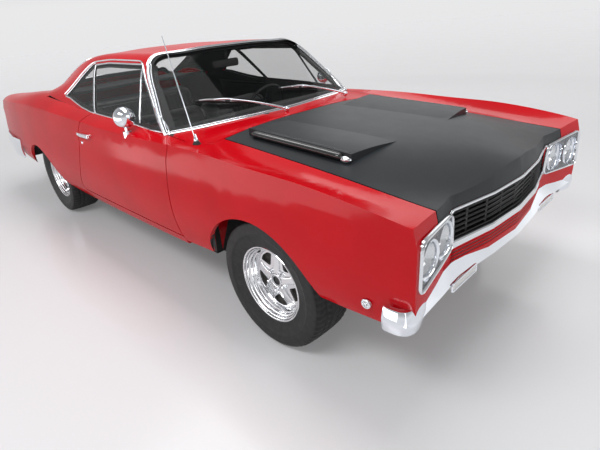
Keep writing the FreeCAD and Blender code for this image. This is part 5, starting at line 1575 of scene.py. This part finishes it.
def make_signal_parts():
    """Bright bezels for the parking lamps and the round side markers."""
    bm = bmesh.new()
    for lo, hi in boxes_of("signal_lamps"):
        if hi.y - lo.y > 0.1:
            face = frame_points(hi.x - 0.0015, lo, hi, 0.006, 0.005, 0.004, 0.008, 4)
            strip(bm, face, FORWARD, 0.008, 0.006, True)
            continue
        c = (lo + hi) / 2
        side = 1 if c.y > 0 else -1
        r = max(hi.z - lo.z, hi.x - lo.x) / 2
        at = Vector((c.x, hi.y if side > 0 else lo.y, c.z))
        revolve(bm, [(-0.004, r + 0.004), (0.0008, r + 0.0035), (0.0030, r + 0.0005), (0.0024, r - 0.0035),
                     (0.0004, r - 0.0045)], at, Vector((0, side, 0)), 40)
        for k in range(4):
            arm = around(math.pi / 4 + k * math.pi / 2, r - 0.004)
            tube(bm, [at + arm + Vector((0, side * 0.001, 0)), at + Vector((0, side * 0.0022, 0))],
                 [0.0022, 0.0030], 8)
    part(bm, "signal_bezels", chrome, "body", 0.9)


def make_tail_parts():
    """Frames and ribs for the tail lamps."""
    bm = bmesh.new()
    for lo, hi in boxes_of("tail_lamps"):
        x = lo.x + 0.001
        strip(bm, frame_points(x, lo, hi, 0.004, 0.004, 0.004, 0.014, 5), BACK, 0.012, 0.0060, True)
        for k in range(1, 4):
            z = lo.z + (hi.z - lo.z) * k / 4
            rib = [Vector((x, lo.y + (hi.y - lo.y) * i / 10, z)) for i in range(11)]
            strip(bm, rib, BACK, 0.0035, 0.0040)
    part(bm, "tail_lamp_frames", steel, "body", 0.9)


def make_antenna_base():
    c = Vector((1.190, -0.795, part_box("antenna")[0].z))
    bm = bmesh.new()
    revolve(bm, [(-0.001, 0.0225), (0.003, 0.0225), (0.006, 0.0190), (0.014, 0.0150), (0.020, 0.0125),
                 (0.020, 0.0)], c, UP, 32, mat=1)
    revolve(bm, [(0.018, 0.0125), (0.026, 0.0120), (0.036, 0.0090), (0.040, 0.0070), (0.052, 0.0060),
                 (0.055, 0.0040), (0.056, 0.0)], c, UP, 28)
    part(bm, "antenna_base", [chrome, rubber], "body")


def make_trunk_lock():
    """Round trunk lock with its cover, on the tail panel's middle."""
    c = surface_of("trunk_lid", "rear_panels").ray_cast(Vector((-4, 0, 0.74)), FORWARD)[0]
    bm = bmesh.new()
    revolve(bm, [(-0.003, 0.019), (0.003, 0.0185), (0.006, 0.0160), (0.0065, 0.0110), (0.0050, 0.0095),
                 (0.0050, 0.0)], c, BACK, 36)
    tube(bm, [c + Vector((-0.0060, 0, -0.006)), c + Vector((-0.0060, 0, 0.006))], 0.0016, 8)
    part(bm, "trunk_lock", chrome, "body", 0.8)


def make_engine_parts():
    """What stands on the engine block: valve covers, air cleaner, fan and upper hose."""
    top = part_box("engine")[1][2]
    bm = bmesh.new()
    for side in (-1, 1):
        y = side * 0.205
        block(bm, (1.42, y - 0.075, top - 0.004), (1.98, y + 0.075, top + 0.062), 0.018)
        for k in range(4):
            revolve(bm, [(0.0, 0.020), (0.006, 0.019), (0.008, 0.015), (0.0085, 0.0)],
                    Vector((1.50 + 0.135 * k, y, top + 0.061)), UP, 20, mat=1)
    part(bm, "valve_covers", [dash_black, cast], "body", 0.7)
    bm = bmesh.new()
    c = Vector((1.70, 0, top - 0.003))
    revolve(bm, [(0.0, 0.055), (0.030, 0.055), (0.034, 0.100), (0.040, 0.112)], c, UP, 64, mat=1)
    revolve(bm, [(0.040, 0.112), (0.046, 0.118), (0.082, 0.118), (0.088, 0.112)], c, UP, 96, mat=1)
    revolve(bm, [(0.088, 0.112), (0.090, 0.121), (0.095, 0.122), (0.099, 0.112), (0.101, 0.060),
                 (0.104, 0.018), (0.116, 0.014), (0.120, 0.006), (0.121, 0.0)], c, UP, 96)
    part(bm, "air_cleaner", [chrome, grille_black], "body", 0.7)
    bm = bmesh.new()
    c = Vector((2.135, 0, 0.600))
    revolve(bm, [(-0.095, 0.030), (0.0, 0.030), (0.006, 0.058), (0.022, 0.058), (0.028, 0.020), (0.030, 0.0)],
            c, FORWARD, 32)
    for k in range(6):
        a = math.tau * k / 6
        out, turn = Vector((0, math.cos(a), math.sin(a))), Vector((0, -math.sin(a), math.cos(a)))
        rows = []
        for i in range(7):
            half, tilt = 0.022 + 0.022 * i / 6, 0.60 - 0.25 * i / 6
            rows.append([bm.verts.new(c + out * (0.045 + 0.145 * i / 6) + turn * (half * w)
                                      + FORWARD * (0.014 + half * w * tilt)) for w in (-1, -0.5, 0, 0.5, 1)])
        bridge(bm, rows)
    part(bm, "cooling_fan", steel, "body")
    bm = bmesh.new()
    tube(bm, smooth([(1.98, 0.06, 0.770), (2.03, 0.06, 0.792), (2.09, 0.08, 0.796), (2.16, 0.14, 0.792),
                     (2.23, 0.20, 0.786), (2.305, 0.24, 0.782)], 6), 0.021, 16)
    part(bm, "upper_hose", rubber)


make_panes()
make_reveals()
make_vents()
make_drip_rails()
make_handles()
make_wipers()
make_signal_parts()
make_tail_parts()
make_antenna_base()
make_grille_liner()
make_bumper_ends()
make_trunk_lock()
make_engine_parts()

# softened panel edges
LINED = ("roof", "quarter_panels", "rear_panels", "cowl", "door_left", "door_right", "front_fenders")
panes_tree = surface_of("fixed_windows", "door_glass_left", "door_glass_right")
enclosure = surface_of(*LINED, "fixed_windows", "door_glass_left", "door_glass_right", "floor_pan",
                       "trunk_lid", "inner_fenders", "tyre_front_left", "tyre_front_right")


def from_axle(c, wheel_x):
    return math.hypot(c.x - wheel_x, c.z - AXLE_Z)


def looks_inward(name, c, n):
    """Whether a panel's face looks into the cabin, the engine bay or a wheel arch."""
    inward = -n.y if c.y > 0 else n.y
    reach, gap = 2.4, 0.045
    if name.startswith("door"):
        return inward > 0.6
    in_cabin = name != "front_fenders" and -1.74 < c.x < 1.22 and c.z > 0.43
    if in_cabin and panes_tree.ray_cast(c, n, reach)[0] is not None:
        return True
    if c.z < 0.80 and abs(c.y) < 0.925 and inward > -0.3 and any(from_axle(c, x) < 0.64 for x in AXLE_XS):
        return True
    hit = enclosure.ray_cast(c + n * 0.004, n, reach)
    if hit[0] is None or hit[3] < gap:
        return False
    if in_cabin:
        return True
    for x in AXLE_XS:
        if from_axle(c, x) < 0.56 and c.z < 0.78 and (Vector((x, c.y, AXLE_Z)) - c).dot(n) > 0:
            return True
    return name == "front_fenders" and (inward > 0.5 or n.z < -0.5)


def is_pull(name, c):
    """Whether a door panel's face belongs to the pull handle of the CAD door."""
    return name.startswith("door") and -0.045 < c.x < 0.135 and 0.878 < c.z < 0.914 and abs(c.y) > 0.9535


def soften(name, mat, body, width):
    """A copy of a rigid panel with its sharp edges rolled over, standing for the panel."""
    bm = bmesh.new()
    bm.from_mesh(nodes[name].data)
    bmesh.ops.remove_doubles(bm, verts=bm.verts, dist=2e-5)
    bmesh.ops.dissolve_degenerate(bm, edges=bm.edges, dist=1e-5)
    me = bpy.data.meshes.new(name + "_dressed")
    bm.to_mesh(me)
    bm.free()
    o = bpy.data.objects.new(name + "_dressed", me)
    scene.collection.objects.link(o)
    me.materials.append(mat)
    m = o.modifiers.new("bevel", "BEVEL")
    m.limit_method = "ANGLE"
    m.angle_limit = 0.50
    m.width = width
    m.segments = 3
    m.use_clamp_overlap = True
    m.miter_outer = "MITER_ARC"
    apply_modifier(o, m)
    o.data.shade_smooth()
    mark_sharp(o.data, 0.55)
    w = o.modifiers.new("weighted", "WEIGHTED_NORMAL")
    w.mode = "FACE_AREA"
    w.weight = 80
    w.keep_sharp = True
    apply_modifier(o, w)
    if name in LINED:
        me = o.data
        me.materials.append(inner_trim)
        me.materials.append(chrome)
        for poly in me.polygons:
            if is_pull(name, poly.center):
                poly.material_index = 2
            elif looks_inward(name, poly.center, poly.normal):
                poly.material_index = 1
    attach(o, body)
    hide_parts(name)


for name, mat, body, slot, width in (
        ("hood", hood_black, "hood", "hood_black", 0.0050),
        ("front_fenders", red, "body", "body_red", 0.0120),
        ("front_panel", red, "body", "body_red", 0.0030),
        ("cowl", red, "body", "body_red", 0.0025),
        ("roof", red, "body", "body_red", 0.0025),
        ("quarter_panels", red, "body", "body_red", 0.0030),
        ("rear_panels", red, "body", "body_red", 0.0030),
        ("trunk_lid", red, "trunk_lid", "body_red", 0.0030),
        ("door_left", red, "door_left", "body_red", 0.0022),
        ("door_right", red, "door_right", "body_red", 0.0022),
        ("front_bumper", chrome, "body", "chrome", 0.0030),
        ("rear_bumper", chrome, "body", "chrome", 0.0030)):
    soften(name, mat, body, width)
